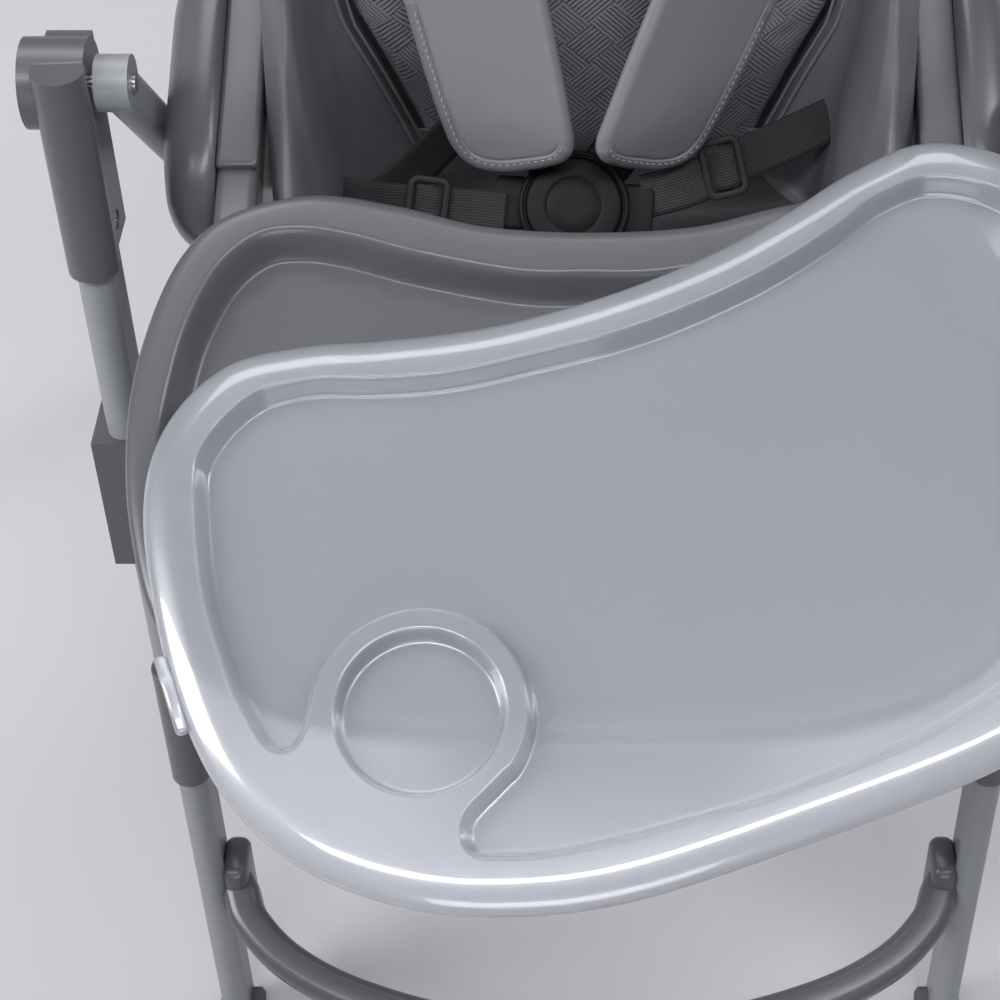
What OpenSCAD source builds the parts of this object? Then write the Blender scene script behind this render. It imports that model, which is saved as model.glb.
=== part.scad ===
// Folding baby high chair: two front legs on a fold hinge, a seat that slides
// up and down them, a reclining back, a legrest, a sliding tray and a lift-off
// translucent tray insert. +Z is up, the child faces -Y, and the origin is on
// the floor under the middle of the chair.

/* [Frame] */
// Half the distance between the front leg tubes
leg_x = 271; // [269:1:272]
// Lean of the front legs from the vertical
front_lean = 24.15; // [24:0.05:24.3]
// Distance of the front legs' axes in front of the origin, at the floor
front_foot_y = 311.5; // [311:0.5:312]
// Distance along a front leg from the floor to the fold hinge
hinge_s = 868; // [866:1:870]
// Lean of the rear legs from the vertical
rear_lean = 20.8; // [20.7:0.05:20.9]
// Radius of the round bead of the front leg
bead_r = 10; // [9.5:0.1:10.2]
// Width of the flat web behind the bead
web_w = 16.5; // [16:0.1:17]
// Depth of the leg section behind the bead's centre
web_depth = 35; // [34:0.5:36]

/* [Seat] */
// Half the width between the armrests
arm_inner_x = 179; // [178:0.5:180]
// Width of an armrest
arm_w = 23; // [22.5:0.5:23.5]
// Height of the armrest's top
arm_top = 731; // [730:0.5:731.5]
// Height of the seat pan's underside
pan_z = 540; // [538:1:542]
// Recline of the backrest from the vertical at rest
back_lean = 18; // [17:0.5:19]
// Length of the backrest above its hinge
back_h = 452; // [440:1:460]

/* [Tray] */
// Height of the tray's rim
tray_top = 755; // [754:0.5:756]
// Depth of the tray's basin
tray_basin_depth = 18; // [16:0.5:18]
// Wall thickness of the tray
tray_wall = 3; // [2.5:0.1:3]
// Width of the tray's rim band
tray_rim = 27; // [24:1:28]

/* [Insert] */
// Height of the insert's rim
insert_top = 775; // [774:0.5:777]
// Turn of the insert on the tray, seen from above
insert_yaw = 20; // [19:0.5:21]
// Depth of the insert's basin
insert_basin_depth = 12; // [11:0.5:12.5]
// Wall thickness of the insert
insert_wall = 1.8; // [1.6:0.1:2]
// Diameter of the cup recess at its brim
cup_d = 80; // [78:1:82]

/* [Hidden] */
$fn = 48;

frame_grey = "#7e8187";
plastic_grey = "#737478";
dark_grey = "#55565b";
leatherette = "#65656b";
web_black = "#4c4c50";
buckle_black = "#282828";
milky = "#cfd2dc";
steel = "#b8babd";

// Places that follow from the driving sizes
leg_dir = [0, sin(front_lean), cos(front_lean)];
leg_back = [0, cos(front_lean), -sin(front_lean)];
pivot_back = 20;
fold_pivot = [0, -front_foot_y, 0] + hinge_s * leg_dir + pivot_back * leg_back;
rear_bar_r = 12;
rear_foot_r = 16;
rear_len = (fold_pivot.z - rear_foot_r) / cos(rear_lean);
rear_leg_x = leg_x - 24;
rear_bar = fold_pivot + rear_len * [0, sin(rear_lean), -cos(rear_lean)];
recline_pivot = [0, 132, 585];
legrest_pivot = [0, -197, 543];
arm_outer_x = arm_inner_x + arm_w;
fit = 0.05;
slide_gap = 0.3;
sides = [-1, 1];

// ---------- curves ----------

// A point of a Catmull-Rom spline between b and c, for t from 0 to 1
function between(a, b, c, d, t) =
    0.5 * (2 * b + (c - a) * t + (2 * a - 5 * b + 4 * c - d) * t * t
           + (3 * b - a - 3 * c + d) * t * t * t);

// Points along an open spline through p, n to each stretch
function spline(p, n) =
    let (k = len(p))
    [for (i = [0:k - 2], j = [0:n - 1])
        between(p[max(i - 1, 0)], p[i], p[i + 1], p[min(i + 2, k - 1)], j / n),
     p[k - 1]];

// A closed outline, symmetric about x = 0, from its right half p, front last
function symmetric(p, n) =
    let (first = [-p[1].x, p[1].y],
         last = [-p[len(p) - 2].x, p[len(p) - 2].y],
         q = concat([first], p, [last]),
         half = [for (i = [1:len(q) - 3], j = [0:n - 1])
             between(q[i - 1], q[i], q[i + 1], q[i + 2], j / n)])
    concat(half, [p[len(p) - 1]],
           [for (i = [len(half) - 1:-1:1]) [-half[i].x, half[i].y]]);

// The outline p moved outwards by g along its own normals; p runs clockwise
function grown(p, g) =
    let (k = len(p))
    [for (i = [0:k - 1])
        let (d = p[(i + 1) % k] - p[(i + k - 1) % k], l = norm(d))
        p[i] + g * [-d.y, d.x] / l];

// ---------- placing ----------

// Local z runs up the front leg, local y is behind it
module on_front_leg(side)
    translate([side * leg_x, -front_foot_y, 0]) rotate([-front_lean, 0, 0]) children();

// Local z runs down the rear leg from the fold hinge
module on_rear_leg(side)
    translate([side * rear_leg_x, fold_pivot.y, fold_pivot.z])
        rotate([180 + rear_lean, 0, 0]) children();

// Local z runs up the backrest, local y is behind it
module on_back()
    translate(recline_pivot) rotate([-back_lean, 0, 0]) children();

// A cylinder along X from x0 to x1
module x_rod(r, x0, x1)
    translate([min(x0, x1), 0, 0]) rotate([0, 90, 0]) cylinder(r = r, h = abs(x1 - x0));

// A YZ outline given the width from x0 to x1
module x_slab(x0, x1)
    translate([min(x0, x1), 0, 0]) rotate([90, 0, 90]) linear_extrude(abs(x1 - x0)) children();

// A flat strip of width w and thickness t from p to q, its width along X
module strip(p, q, w, t) {
    d = q - p;
    translate(p) rotate([-atan2(d.y, d.z), 0, 0]) rotate([0, asin(d.x / norm(d)), 0])
        translate([-w / 2, -t / 2, 0]) cube([w, t, norm(d)]);
}

module rounded_rect(w, h, r)
    union() {
        translate([-w / 2 + r, -h / 2]) square([w - 2 * r, h]);
        translate([-w / 2, -h / 2 + r]) square([w, h - 2 * r]);
        for (x = sides, y = sides) translate([x * (w / 2 - r), y * (h / 2 - r)]) circle(r);
    }

// ---------- front frame ----------

// Leg section: a round bead with a flat web behind it, g larger all round
module leg_section(g = 0) {
    circle(bead_r + g);
    translate([-web_w / 2 - g, 0]) square([web_w + 2 * g, web_depth - web_w / 2]);
    translate([0, web_depth - web_w / 2]) circle(web_w / 2 + g);
}

leg_bottom = 14;
leg_top = hinge_s + 14;
tube_wall = 1.5;

module front_leg(side)
    color(frame_grey) on_front_leg(side)
        difference() {
            translate([0, 0, leg_bottom]) linear_extrude(leg_top - leg_bottom) leg_section();
            translate([0, 0, leg_bottom - 1]) linear_extrude(leg_top - leg_bottom + 2)
                leg_section(-tube_wall);
            translate([0, pivot_back, hinge_s]) x_rod(5, -20, 20);
        }

housing_bottom = 763;
housing_r = 14;
boss_r = 24;
boss_out = 22;
button_r = 10;

module hinge_housing(side)
    color(plastic_grey) on_front_leg(side)
        difference() {
            union() {
                translate([0, 0, housing_bottom]) cylinder(r = housing_r, h = hinge_s + 20 - housing_bottom);
                translate([-12, 0, housing_bottom + 5])
                    cube([24, web_depth + 4, hinge_s + 15 - housing_bottom]);
                translate([0, pivot_back, hinge_s]) x_rod(boss_r, -side * 12, side * boss_out);
            }
            translate([0, 0, leg_bottom]) linear_extrude(leg_top - leg_bottom + 0.2) leg_section();
            translate([0, pivot_back, hinge_s]) x_rod(5, -30, 12);
            translate([0, pivot_back, hinge_s]) x_rod(5, -12, 30);
            translate([0, pivot_back, hinge_s]) x_rod(button_r + 0.2, side * 14, side * 30);
            translate([0, pivot_back, 781]) x_rod(5.6, -side * 9.6, -side * 20);
        }

// Countersunk screws that hold the housings to the legs, one on each side
module hinge_screws()
    color(steel)
        for (side = sides)
            on_front_leg(side) translate([0, pivot_back, 781]) difference() {
                x_rod(5.4, -side * 9.6, -side * 11.2);
                x_rod(2, -side * 10.4, -side * 12);
            }

module fold_pins()
    color(steel)
        for (side = sides)
            on_front_leg(side) translate([0, pivot_back, hinge_s])
                x_rod(5, side * 13.8, -side * 35);

module leg_collar(side)
    color(plastic_grey) on_front_leg(side)
        translate([0, 0, 333]) linear_extrude(108) difference() {
            leg_section(3.2);
            leg_section();
        }

bar_top = 196;
bar_h = 30;
bar_w = 26;
bar_half = [[0, -332], [90, -326], [165, -306], [214, -281], [243, -252], [252, -228]];

module front_crossbar() {
    line = spline([for (i = [len(bar_half) - 1:-1:0]) [-bar_half[i].x, bar_half[i].y]], 6);
    whole = concat(line, [for (i = [len(line) - 2:-1:0]) [-line[i].x, line[i].y]]);
    last = len(whole) - 1;
    normals = [for (i = [0:last])
        let (d = whole[min(i + 1, last)] - whole[max(i - 1, 0)]) [-d.y, d.x] / norm(d)];
    color(plastic_grey) difference() {
        union() {
            translate([0, 0, bar_top - bar_h]) linear_extrude(bar_h)
                polygon(concat([for (i = [0:last]) whole[i] + normals[i] * bar_w / 2],
                               [for (i = [last:-1:0]) whole[i] - normals[i] * bar_w / 2]));
            for (side = sides)
                on_front_leg(side)
                    translate([min(-side * 4, -side * 26), -6, 180]) cube([22, 36, 44]);
        }
        for (side = sides)
            on_front_leg(side) translate([0, 0, 150]) linear_extrude(100) leg_section();
    }
}

module front_foot(side)
    color(dark_grey) difference() {
        translate([0, -front_foot_y + 8, 0]) x_slab(side * leg_x - 15, side * leg_x + 15)
            translate([0, 17]) rounded_rect(66, 34, 8);
        on_front_leg(side) translate([0, 0, leg_bottom]) linear_extrude(60) leg_section();
    }

module fold_button(side)
    color(dark_grey) on_front_leg(side) translate([0, pivot_back, hinge_s])
        x_rod(button_r, side * 18, side * (boss_out + 3));

// ---------- rear frame ----------

module rear_leg_section(g = 0) {
    translate([-8 - g, -6]) square([16 + 2 * g, 12]);
    for (y = [-6, 6]) translate([0, y]) circle(8 + g);
}

module rear_leg(side)
    color(frame_grey) on_rear_leg(side) difference() {
        union() {
            x_rod(15, -9, 9);
            linear_extrude(rear_len - rear_bar_r - 1) rear_leg_section();
        }
        translate([0, 0, 17]) linear_extrude(rear_len) rear_leg_section(-tube_wall);
        x_rod(5 + fit, -12, 12);
    }

module rear_crossbar()
    color(frame_grey) translate(fold_pivot) rotate([180 + rear_lean, 0, 0])
        translate([0, 0, 610]) difference() {
            x_rod(9, -rear_leg_x + 8, rear_leg_x - 8);
            x_rod(7.5, -rear_leg_x + 20, rear_leg_x - 20);
        }

module rear_base_bar()
    color(frame_grey) translate(rear_bar) difference() {
        x_rod(rear_bar_r, -290, 290);
        x_rod(rear_bar_r - tube_wall, -289, 289);
        for (side = sides) translate([side * rear_leg_x, 0, 0]) rotate([rear_lean, 0, 0])
            translate([0, 0, rear_bar_r - 1]) linear_extrude(30) rear_leg_section(0.01);
    }

module rear_foot(side)
    color(dark_grey) translate(rear_bar) difference() {
        x_rod(rear_foot_r, side * 272, side * 307.5);
        x_rod(rear_bar_r, side * 268, side * 290);
    }

// ---------- seat ----------

side_wall_x = 190;

// Side wall seen from the side, from its front lower corner round
wall_points = [[-200, 530], [-209, 543], [-200, 558], [-185, 590], [-150, 604], [-110, 612],
               [-70, 650], [-58, 688], [-11, 696], [-6, 705],
               [150, 705], [158, 600], [150, 566], [120, 540], [-180, 540]];

module seat_shell()
    color(plastic_grey) {
        difference() {
            translate([-side_wall_x, -185, pan_z]) cube([2 * side_wall_x, 300, 6]);
            translate([-16, -28, pan_z - 1]) cube([32, 6, 8]);
        }
        for (side = sides)
            difference() {
                x_slab(side * side_wall_x, side * arm_outer_x) polygon(wall_points);
                translate(recline_pivot) x_rod(6, side * 180, side * 215);
                translate(legrest_pivot) x_rod(5, side * 150, side * 200);
            }
    }

carriage_s = [548, 646];

module carriage(side)
    color(dark_grey) on_front_leg(side) difference() {
        union() {
            translate([-15, -14, carriage_s[0]]) cube([30, web_depth + 18, carriage_s[1] - carriage_s[0]]);
            translate([min(side * 14, side * 18), -14, carriage_s[0]])
                cube([4, web_depth + 18, carriage_s[1] - carriage_s[0]]);
            translate([min(-side * 14, -side * (leg_x - arm_outer_x)), -13, carriage_s[0] + 8])
                cube([leg_x - arm_outer_x - 14, 22, 82]);
        }
        translate([0, 0, carriage_s[0] - 1]) linear_extrude(carriage_s[1] - carriage_s[0] + 2)
            leg_section(slide_gap);
        translate([0, pivot_back, 597]) x_rod(8.2, side * 10, side * 20);
    }

module height_button(side)
    color("#3c3d41") on_front_leg(side) translate([0, pivot_back, 597])
        x_rod(8, side * 13, side * 21);

arm_front = -150;
arm_back = 186;
arm_drop = 26;
arm_wall = 3;

module armrest(side)
    color(plastic_grey)
        translate([side * (arm_inner_x + arm_w / 2), arm_back, arm_top - arm_drop / 2])
            rotate([90, 0, 0]) difference() {
                linear_extrude(arm_back - arm_front) rounded_rect(arm_w, arm_drop, 4);
                translate([0, 0, arm_wall]) linear_extrude(arm_back - arm_front - 2 * arm_wall)
                    rounded_rect(arm_w - 2 * arm_wall, arm_drop - 2 * arm_wall, 2);
            }

pad_front = 42;
grip_rise = 3.5;

module arm_pad(side)
    color(dark_grey)
        translate([side * (arm_inner_x + arm_w / 2), 0, arm_top])
            rotate([90, 0, 0]) translate([0, 0, -arm_back]) linear_extrude(arm_back - pad_front)
                difference() {
                    rounded_rect(arm_w, 2 * grip_rise, 3);
                    translate([-arm_w, -20]) square([2 * arm_w, 20]);
                }

// Side cover seen from the side
cover_points = [[16, 700], [26, 722], [52, 737], [104, 742], [160, 738], [186, 715],
                [186, 670], [160, 645], [104, 636], [52, 644], [24, 668], [16, 700]];

cover_wall = 3;

// A dished shell, open towards the seat
module side_cover(side)
    color(plastic_grey) difference() {
        curve = spline(cover_points, 4);
        outline = [for (i = [0:len(curve) - 2]) curve[i]];
        x_slab(side * (arm_outer_x + 0.2), side * 234) polygon(outline);
        x_slab(side * arm_outer_x, side * (234 - cover_wall)) polygon(grown(outline, -cover_wall));
    }

module seat_cushion()
    color(leatherette) difference() {
        translate([0, -40, pan_z + 6]) linear_extrude(29) rounded_rect(370, 280, 24);
        translate([-16, -28, pan_z]) cube([32, 6, 50]);
    }

buckle = [-9, 53, 672];
buckle_tilt = 27;

module on_buckle()
    translate(buckle) rotate([buckle_tilt, 0, 0]) children();

module crotch_strap()
    color(web_black) {
        strip([0, -25, pan_z], [0, -25, pan_z + 37], 26, 1.8);
        strip([0, -25, pan_z + 37], [-8, 33, 647], 26, 1.8);
    }

strap_w = 25;
strap_t = 1.6;

// A waist strap from the buckle's side to the side of the seat
module waist_run(p, q) {
    d = q - p;
    translate(p) rotate([0, 0, atan2(d.y, d.x)]) rotate([0, -atan2(d.z, norm([d.x, d.y])), 0])
        rotate([sign(d.x) * (buckle_tilt + 8), 0, 0]) translate([0, -strap_w / 2, -strap_t / 2])
            cube([norm(d), strap_w, strap_t]);
}

waist_right = [[26, 57, 674], [66, 70, 676], [118, 97, 672]];
waist_left = [[-45, 48, 672], [-84, 52, 671], [-126, 60, 664]];

module waist_strap(side)
    color(web_black) {
        p = side > 0 ? waist_right : waist_left;
        waist_run(p[0], p[1]);
        waist_run(p[1] - side * [1, 0, 0], p[2]);
    }

module adjuster(p)
    translate(p) rotate([buckle_tilt + 8, 0, 0]) difference() {
        translate([-12, -17, 4.4]) cube([24, 34, 3]);
        for (x = [-9, 3]) translate([x, -13.5, 4]) cube([6, 27, 5]);
    }

module strap_adjusters()
    color(buckle_black) {
        adjuster([76, 75, 676.5]);
        adjuster([-92, 54, 670.5]);
    }

module buckle_body()
    color(buckle_black) on_buckle() difference() {
        translate([0, 0, -9]) cylinder(r = 31.5, h = 16);
        translate([0, 0, 0]) cylinder(r = 27.2, h = 10);
    }

module buckle_button()
    color("#303032") on_buckle() difference() {
        translate([0, 0, 3.2]) cylinder(r = 27, h = 6);
        translate([0, 0, 8.6]) cylinder(r = 15.5, h = 2);
    }

// ---------- backrest ----------

// Right half of the back cushion's outline in the backrest's plane
back_half = [[0, 13], [86, 13], [95, 22], [104, 50], [136, 130], [142, 170], [142, 400],
             [132, 426], [108, 437], [0, 437]];
back_thick = 30;
back_low_w = 2 * back_half[2].x;
back_outline = concat(back_half, [for (i = [len(back_half) - 2:-1:1]) [-back_half[i].x, back_half[i].y]]);

module backrest_shell()
    color(plastic_grey) on_back() difference() {
        union() {
            translate([0, 13, 0]) rotate([90, 0, 0]) translate([0, back_h / 2 + 4, 0])
                linear_extrude(12.5) rounded_rect(356, back_h - 8, 46);
            for (side = sides)
                translate([min(side * 176, side * 188), 0, 0]) x_slab(0, 12)
                    union() { circle(14); square([14, 50]); }
        }
        x_rod(6 + fit, -190, 190);
        for (side = sides, z = [230, 310])
            translate([side * 62 - 18, -5, z]) cube([36, 30, 5]);
    }

module recline_pins()
    color(steel) translate(recline_pivot)
        for (side = sides) x_rod(6, side * 175, side * arm_outer_x);

module back_cushion()
    color("#77777e") on_back()
        rotate([90, 0, 0]) linear_extrude(back_thick) polygon(back_outline);

// Side bolster seen from the side, in the backrest's own plane
bolster_points = [[-0.2, 14], [-150, 14], [-164, 24], [-168, 56], [-149, 92], [-118, 124],
                  [-88, 190], [-74, 280], [-58, 380], [-30, 430], [-0.2, 436]];

// Right bolster seen from above: its inner face slopes down to the back cushion
bolster_section = [[back_low_w / 2, 1], [175, 1], [175, -171], [157, -171], [151, -90],
                   [136, -44], [back_low_w / 2, -30]];
bolster_gap = 0.4;

module side_bolster(side)
    color(leatherette) on_back() difference() {
        intersection() {
            x_slab(side * (back_low_w / 2 + bolster_gap), side * 174) polygon(bolster_points);
            linear_extrude(back_h) polygon([for (p = bolster_section) [side * p.x, p.y]]);
        }
        translate([0, 10, 0]) rotate([90, 0, 0]) linear_extrude(200)
            polygon(grown(back_outline, -bolster_gap));
    }

// A pad's plane: local z runs up it and local x across it, turned about z by twist
module on_strip(p, q, twist = 0) {
    d = q - p;
    translate(p) rotate([-atan2(d.y, d.z), 0, 0]) rotate([0, asin(d.x / norm(d)), 0])
        rotate([0, 0, twist]) children();
}

// Left pad's outline, from the middle of its lower edge up its inner side
pad_points = [[0, -6], [22, -4], [31, 0], [34.5, 7], [37, 60], [39, 150], [-41, 150],
              [-41, 56], [-38, 24], [-34, 8], [-24, -3]];
pad_twist = 13;
pad_twist_right = 30;

module shoulder_pad(side)
    color(leatherette) {
        ends = side < 0 ? pad_left : pad_right;
        on_strip(ends[0], ends[1], side < 0 ? -pad_twist : pad_twist_right)
            translate([0, 6, 0]) rotate([90, 0, 0])
                linear_extrude(12) polygon([for (p = pad_points) [-side * p.x, p.y]]);
    }

pad_left = [[-39, 65, 702], [-72, 147, 827]];
pad_right = [[28, 66, 702], [88, 147, 827]];
under_pad = 7.4;

module shoulder_strap(side)
    color(web_black) {
        ends = side < 0 ? pad_left : pad_right;
        on_strip(ends[0], ends[1], side < 0 ? -pad_twist : pad_twist_right)
            translate([-strap_w / 2, under_pad - strap_t / 2, -3])
                cube([strap_w, strap_t, norm(ends[1] - ends[0]) + 4]);
    }

module recline_handle()
    color(dark_grey) on_back() translate([0, 13.6, 372]) difference() {
        translate([0, 18, 0]) rotate([90, 0, 0]) linear_extrude(18) rounded_rect(120, 56, 14);
        translate([0, 20, -6]) rotate([90, 0, 0]) linear_extrude(22) rounded_rect(84, 26, 10);
    }

// ---------- legrest ----------

module on_legrest() translate(legrest_pivot) rotate([12, 0, 0]) children();

module legrest_panel()
    color(plastic_grey) on_legrest() difference() {
        union() {
            x_rod(9, -150, 150);
            translate([0, 6, -100]) rotate([90, 0, 0]) linear_extrude(8) rounded_rect(250, 200, 24);
        }
        x_rod(5 + fit, -152, 152);
    }

module legrest_pad()
    color(leatherette) on_legrest() translate([0, -2.2, -108]) rotate([90, 0, 0])
        linear_extrude(14) rounded_rect(240, 180, 24);

module legrest_pins()
    color(steel) translate(legrest_pivot)
        for (side = sides) x_rod(5, side * 130, side * 200);

module foot_plate()
    color(dark_grey) on_legrest() translate([0, -22, -206]) linear_extrude(6)
        rounded_rect(220, 66, 18);

// ---------- tray ----------

bay_y = -7;
tray_half = [[0, 0], [55, -3.5], [100, -15.5], [146, -22.2], [190, -10], [214, 16], [229, 62],
             [234, 110], [228, 167], [209, 222], [168, 256], [100, 274], [0, 278]];
tray_outline = [for (p = symmetric(tray_half, 5)) [p.x, bay_y - p.y]];
skirt_drop = 22;

module tray_plate(g, z0, z1)
    translate([0, 0, z0]) linear_extrude(z1 - z0) polygon(grown(tray_outline, g));

module tray_base() {
    floor_z = tray_top - tray_basin_depth;
    color(plastic_grey) difference() {
        tray_plate(0, tray_top - skirt_drop, tray_top);
        tray_plate(-tray_rim, floor_z, tray_top + 1);
        difference() {
            tray_plate(-tray_wall, tray_top - skirt_drop - 1, tray_top - tray_wall);
            tray_plate(-tray_rim + tray_wall, floor_z - tray_wall, tray_top);
        }
    }
}

tray_under = tray_top - tray_basin_depth - tray_wall;
rail_y = [-146, -12];
rail_bottom = 698;

module tray_rail(side)
    color(dark_grey) translate([side * (arm_inner_x + arm_w / 2), rail_y[1], 0]) rotate([90, 0, 0])
        linear_extrude(rail_y[1] - rail_y[0]) difference() {
            translate([-arm_w / 2 - 4, rail_bottom]) square([arm_w + 8, tray_under - rail_bottom]);
            translate([-arm_w / 2 - 0.6, arm_top - arm_drop - 0.6])
                square([arm_w + 1.2, arm_drop + 1.2]);
            translate([-arm_w / 2 + 3, 0]) square([arm_w - 6, arm_top - 10]);
        }

module tray_release(side)
    color("#3c3d41") translate([side * 150, -150, tray_under - 16])
        linear_extrude(15.6) rounded_rect(26, 60, 8);

// ---------- insert ----------

insert_bay = [4, -52];
insert_half = [[0, 2.7], [60, -1], [110, -11.5], [150, -22], [191, -24.6], [228, -2.5],
               [250, 37.5], [260, 105], [259, 158], [250, 195], [230, 230], [194, 262],
               [149, 284], [90, 297.5], [0, 300]];
// Snap lugs on the insert's two short edges
insert_lug = [9, 40, 7];
insert_lug_at = [260.5, -132, -11];
insert_outline = [for (p = symmetric(insert_half, 5)) [p.x, -p.y]];
cup_place = [-154.5, -181.5];
collar_r = 52;
insert_rim = 25;
insert_hem = 7;
cup_depth = 10;
cup_foot_r = cup_d / 2 - 1.5;

module insert_plate(g, z0, z1)
    translate([0, 0, z0]) linear_extrude(z1 - z0) polygon(grown(insert_outline, g));

// The basin, less the collar that stands round the cup holder
module basin_plate(g, z0, z1)
    difference() {
        insert_plate(g, z0, z1);
        translate([cup_place.x, cup_place.y, z0 - 1]) cylinder(r = collar_r - g - insert_rim, h = z1 - z0 + 2);
    }

module tray_insert()
    color(milky) translate([insert_bay.x, insert_bay.y, insert_top]) rotate([0, 0, insert_yaw]) {
        for (x = sides)
            translate([x * insert_lug_at.x, insert_lug_at.y, insert_lug_at.z])
                linear_extrude(insert_lug.z) rounded_rect(insert_lug.x, insert_lug.y, 3);
        difference() {
            insert_plate(0, -insert_basin_depth - insert_wall, 0);
            basin_plate(-insert_rim, -insert_basin_depth, 1);
            translate([cup_place.x, cup_place.y, -cup_depth]) cylinder(r = cup_foot_r, h = 12);
            difference() {
                insert_plate(-insert_wall, -insert_basin_depth - 3, -insert_wall);
                basin_plate(-insert_rim + insert_wall, -insert_basin_depth - 4, 1);
                translate([cup_place.x, cup_place.y, -cup_depth - insert_wall])
                    cylinder(r = cup_foot_r + insert_wall, h = 14);
            }
            difference() {
                insert_plate(1, -insert_basin_depth - 4, -insert_hem);
                insert_plate(-insert_rim + insert_wall, -insert_basin_depth - 5, 1 - insert_hem);
            }
        }
    }

// ---------- assembly ----------

front_leg(-1);  // front_leg_left
front_leg(1);  // front_leg_right
hinge_housing(-1);  // hinge_housing_left
hinge_housing(1);  // hinge_housing_right
hinge_screws();
fold_pins();
leg_collar(-1);  // leg_collar_left
leg_collar(1);  // leg_collar_right
front_crossbar();
front_foot(-1);  // front_foot_left
front_foot(1);  // front_foot_right
fold_button(-1);  // fold_button_left
fold_button(1);  // fold_button_right
rear_leg(-1);  // rear_leg_left
rear_leg(1);  // rear_leg_right
rear_crossbar();
rear_base_bar();
rear_foot(-1);  // rear_foot_left
rear_foot(1);  // rear_foot_right
seat_shell();
carriage(-1);  // carriage_left
carriage(1);  // carriage_right
height_button(-1);  // height_button_left
height_button(1);  // height_button_right
armrest(-1);  // armrest_left
armrest(1);  // armrest_right
arm_pad(-1);  // arm_pad_left
arm_pad(1);  // arm_pad_right
side_cover(-1);  // side_cover_left
side_cover(1);  // side_cover_right
seat_cushion();
crotch_strap();
waist_strap(-1);  // waist_strap_left
waist_strap(1);  // waist_strap_right
strap_adjusters();
buckle_body();
buckle_button();
backrest_shell();
recline_pins();
back_cushion();
side_bolster(-1);  // side_bolster_left
side_bolster(1);  // side_bolster_right
shoulder_pad(-1);  // shoulder_pad_left
shoulder_pad(1);  // shoulder_pad_right
shoulder_strap(-1);  // shoulder_strap_left
shoulder_strap(1);  // shoulder_strap_right
recline_handle();
legrest_panel();
legrest_pad();
legrest_pins();
foot_plate();
tray_base();
tray_rail(-1);  // tray_rail_left
tray_rail(1);  // tray_rail_right
tray_release(-1);  // tray_release_left
tray_release(1);  // tray_release_right
tray_insert();
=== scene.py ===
"""A folding baby high chair with a sliding tray and a lift-off translucent insert.

Lengths in each section are in millimetres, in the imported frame: +Z up, the child faces -Y,
and the origin is on the floor under the chair.
"""
import math

import bmesh
import bpy
import numpy as np
from mathutils import Matrix, Vector
from mathutils.geometry import delaunay_2d_cdt


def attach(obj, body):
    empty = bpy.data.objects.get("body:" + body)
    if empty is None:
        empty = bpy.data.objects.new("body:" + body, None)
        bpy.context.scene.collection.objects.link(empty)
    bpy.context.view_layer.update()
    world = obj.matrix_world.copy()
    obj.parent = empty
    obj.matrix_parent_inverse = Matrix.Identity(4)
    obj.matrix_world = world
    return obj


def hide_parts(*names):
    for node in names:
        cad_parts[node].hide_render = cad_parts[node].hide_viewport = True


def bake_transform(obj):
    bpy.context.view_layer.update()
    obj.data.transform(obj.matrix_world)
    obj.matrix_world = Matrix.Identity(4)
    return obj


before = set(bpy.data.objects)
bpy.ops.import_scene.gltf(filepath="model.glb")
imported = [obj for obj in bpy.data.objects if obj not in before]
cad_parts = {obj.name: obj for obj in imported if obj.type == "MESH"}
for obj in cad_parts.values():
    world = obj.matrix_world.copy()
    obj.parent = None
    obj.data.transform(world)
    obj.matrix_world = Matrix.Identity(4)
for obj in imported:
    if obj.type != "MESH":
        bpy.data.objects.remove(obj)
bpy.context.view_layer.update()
MM = 0.001
SIDES = {"left": -1, "right": 1}

# ---------- Camera ----------
# The view is steeply down over the tray towards the seat, from in front of the chair, with a
# long lens. It is shifted sideways so that the tray's left half fills the frame.

camera = bpy.data.objects.new("camera", bpy.data.cameras.new("camera"))
bpy.context.scene.collection.objects.link(camera)
camera.location = (0.0, -0.577, 1.759)
camera.rotation_euler = (math.radians(22.5), 0.0, 0.0)
camera.data.lens = 79.2
camera.data.sensor_width = 36.0
camera.data.shift_x = -0.09
bpy.context.scene.camera = camera
bpy.context.scene.view_settings.view_transform = "Standard"

# ---------- Floor and light ----------
# A plain pale studio floor, lit by soft boxes: a narrow one overhead, which leaves thin streaks
# on glossy rounded edges, and broader ones behind, in front and at both sides.


def linear(colour):
    """An sRGB hex colour as linear RGBA."""
    channels = [int(colour[i:i + 2], 16) / 255 for i in (1, 3, 5)]
    return [c / 12.92 if c <= 0.04045 else ((c + 0.055) / 1.055) ** 2.4 for c in channels] + [1.0]


def add(tree, kind, sockets=None, **settings):
    """A node of one kind. A socket takes a value, or another node with its output's name."""
    node = tree.nodes.new("ShaderNode" + kind)
    for name, value in settings.items():
        setattr(node, name, value)
    for name, value in (sockets or {}).items():
        if isinstance(value, tuple) and isinstance(value[0], bpy.types.Node):
            tree.links.new(value[0].outputs[value[1]], node.inputs[name])
        else:
            node.inputs[name].default_value = value
    return node


def blank(name):
    """A new material with no nodes, and its tree."""
    material = bpy.data.materials.new(name)
    material.use_nodes = True
    material.node_tree.nodes.clear()
    return material, material.node_tree


def piece(name, vertices, faces, material, smooth=True):
    """An object from vertices in millimetres."""
    mesh = bpy.data.meshes.new(name)
    mesh.from_pydata([tuple(float(x) * MM for x in v) for v in vertices], [],
                     [tuple(int(i) for i in f) for f in faces])
    mesh.validate()
    made = bpy.data.objects.new(name, mesh)
    bpy.context.scene.collection.objects.link(made)
    if material is not None:
        mesh.materials.append(material)
    if smooth:
        mesh.shade_smooth()
    return made


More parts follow.
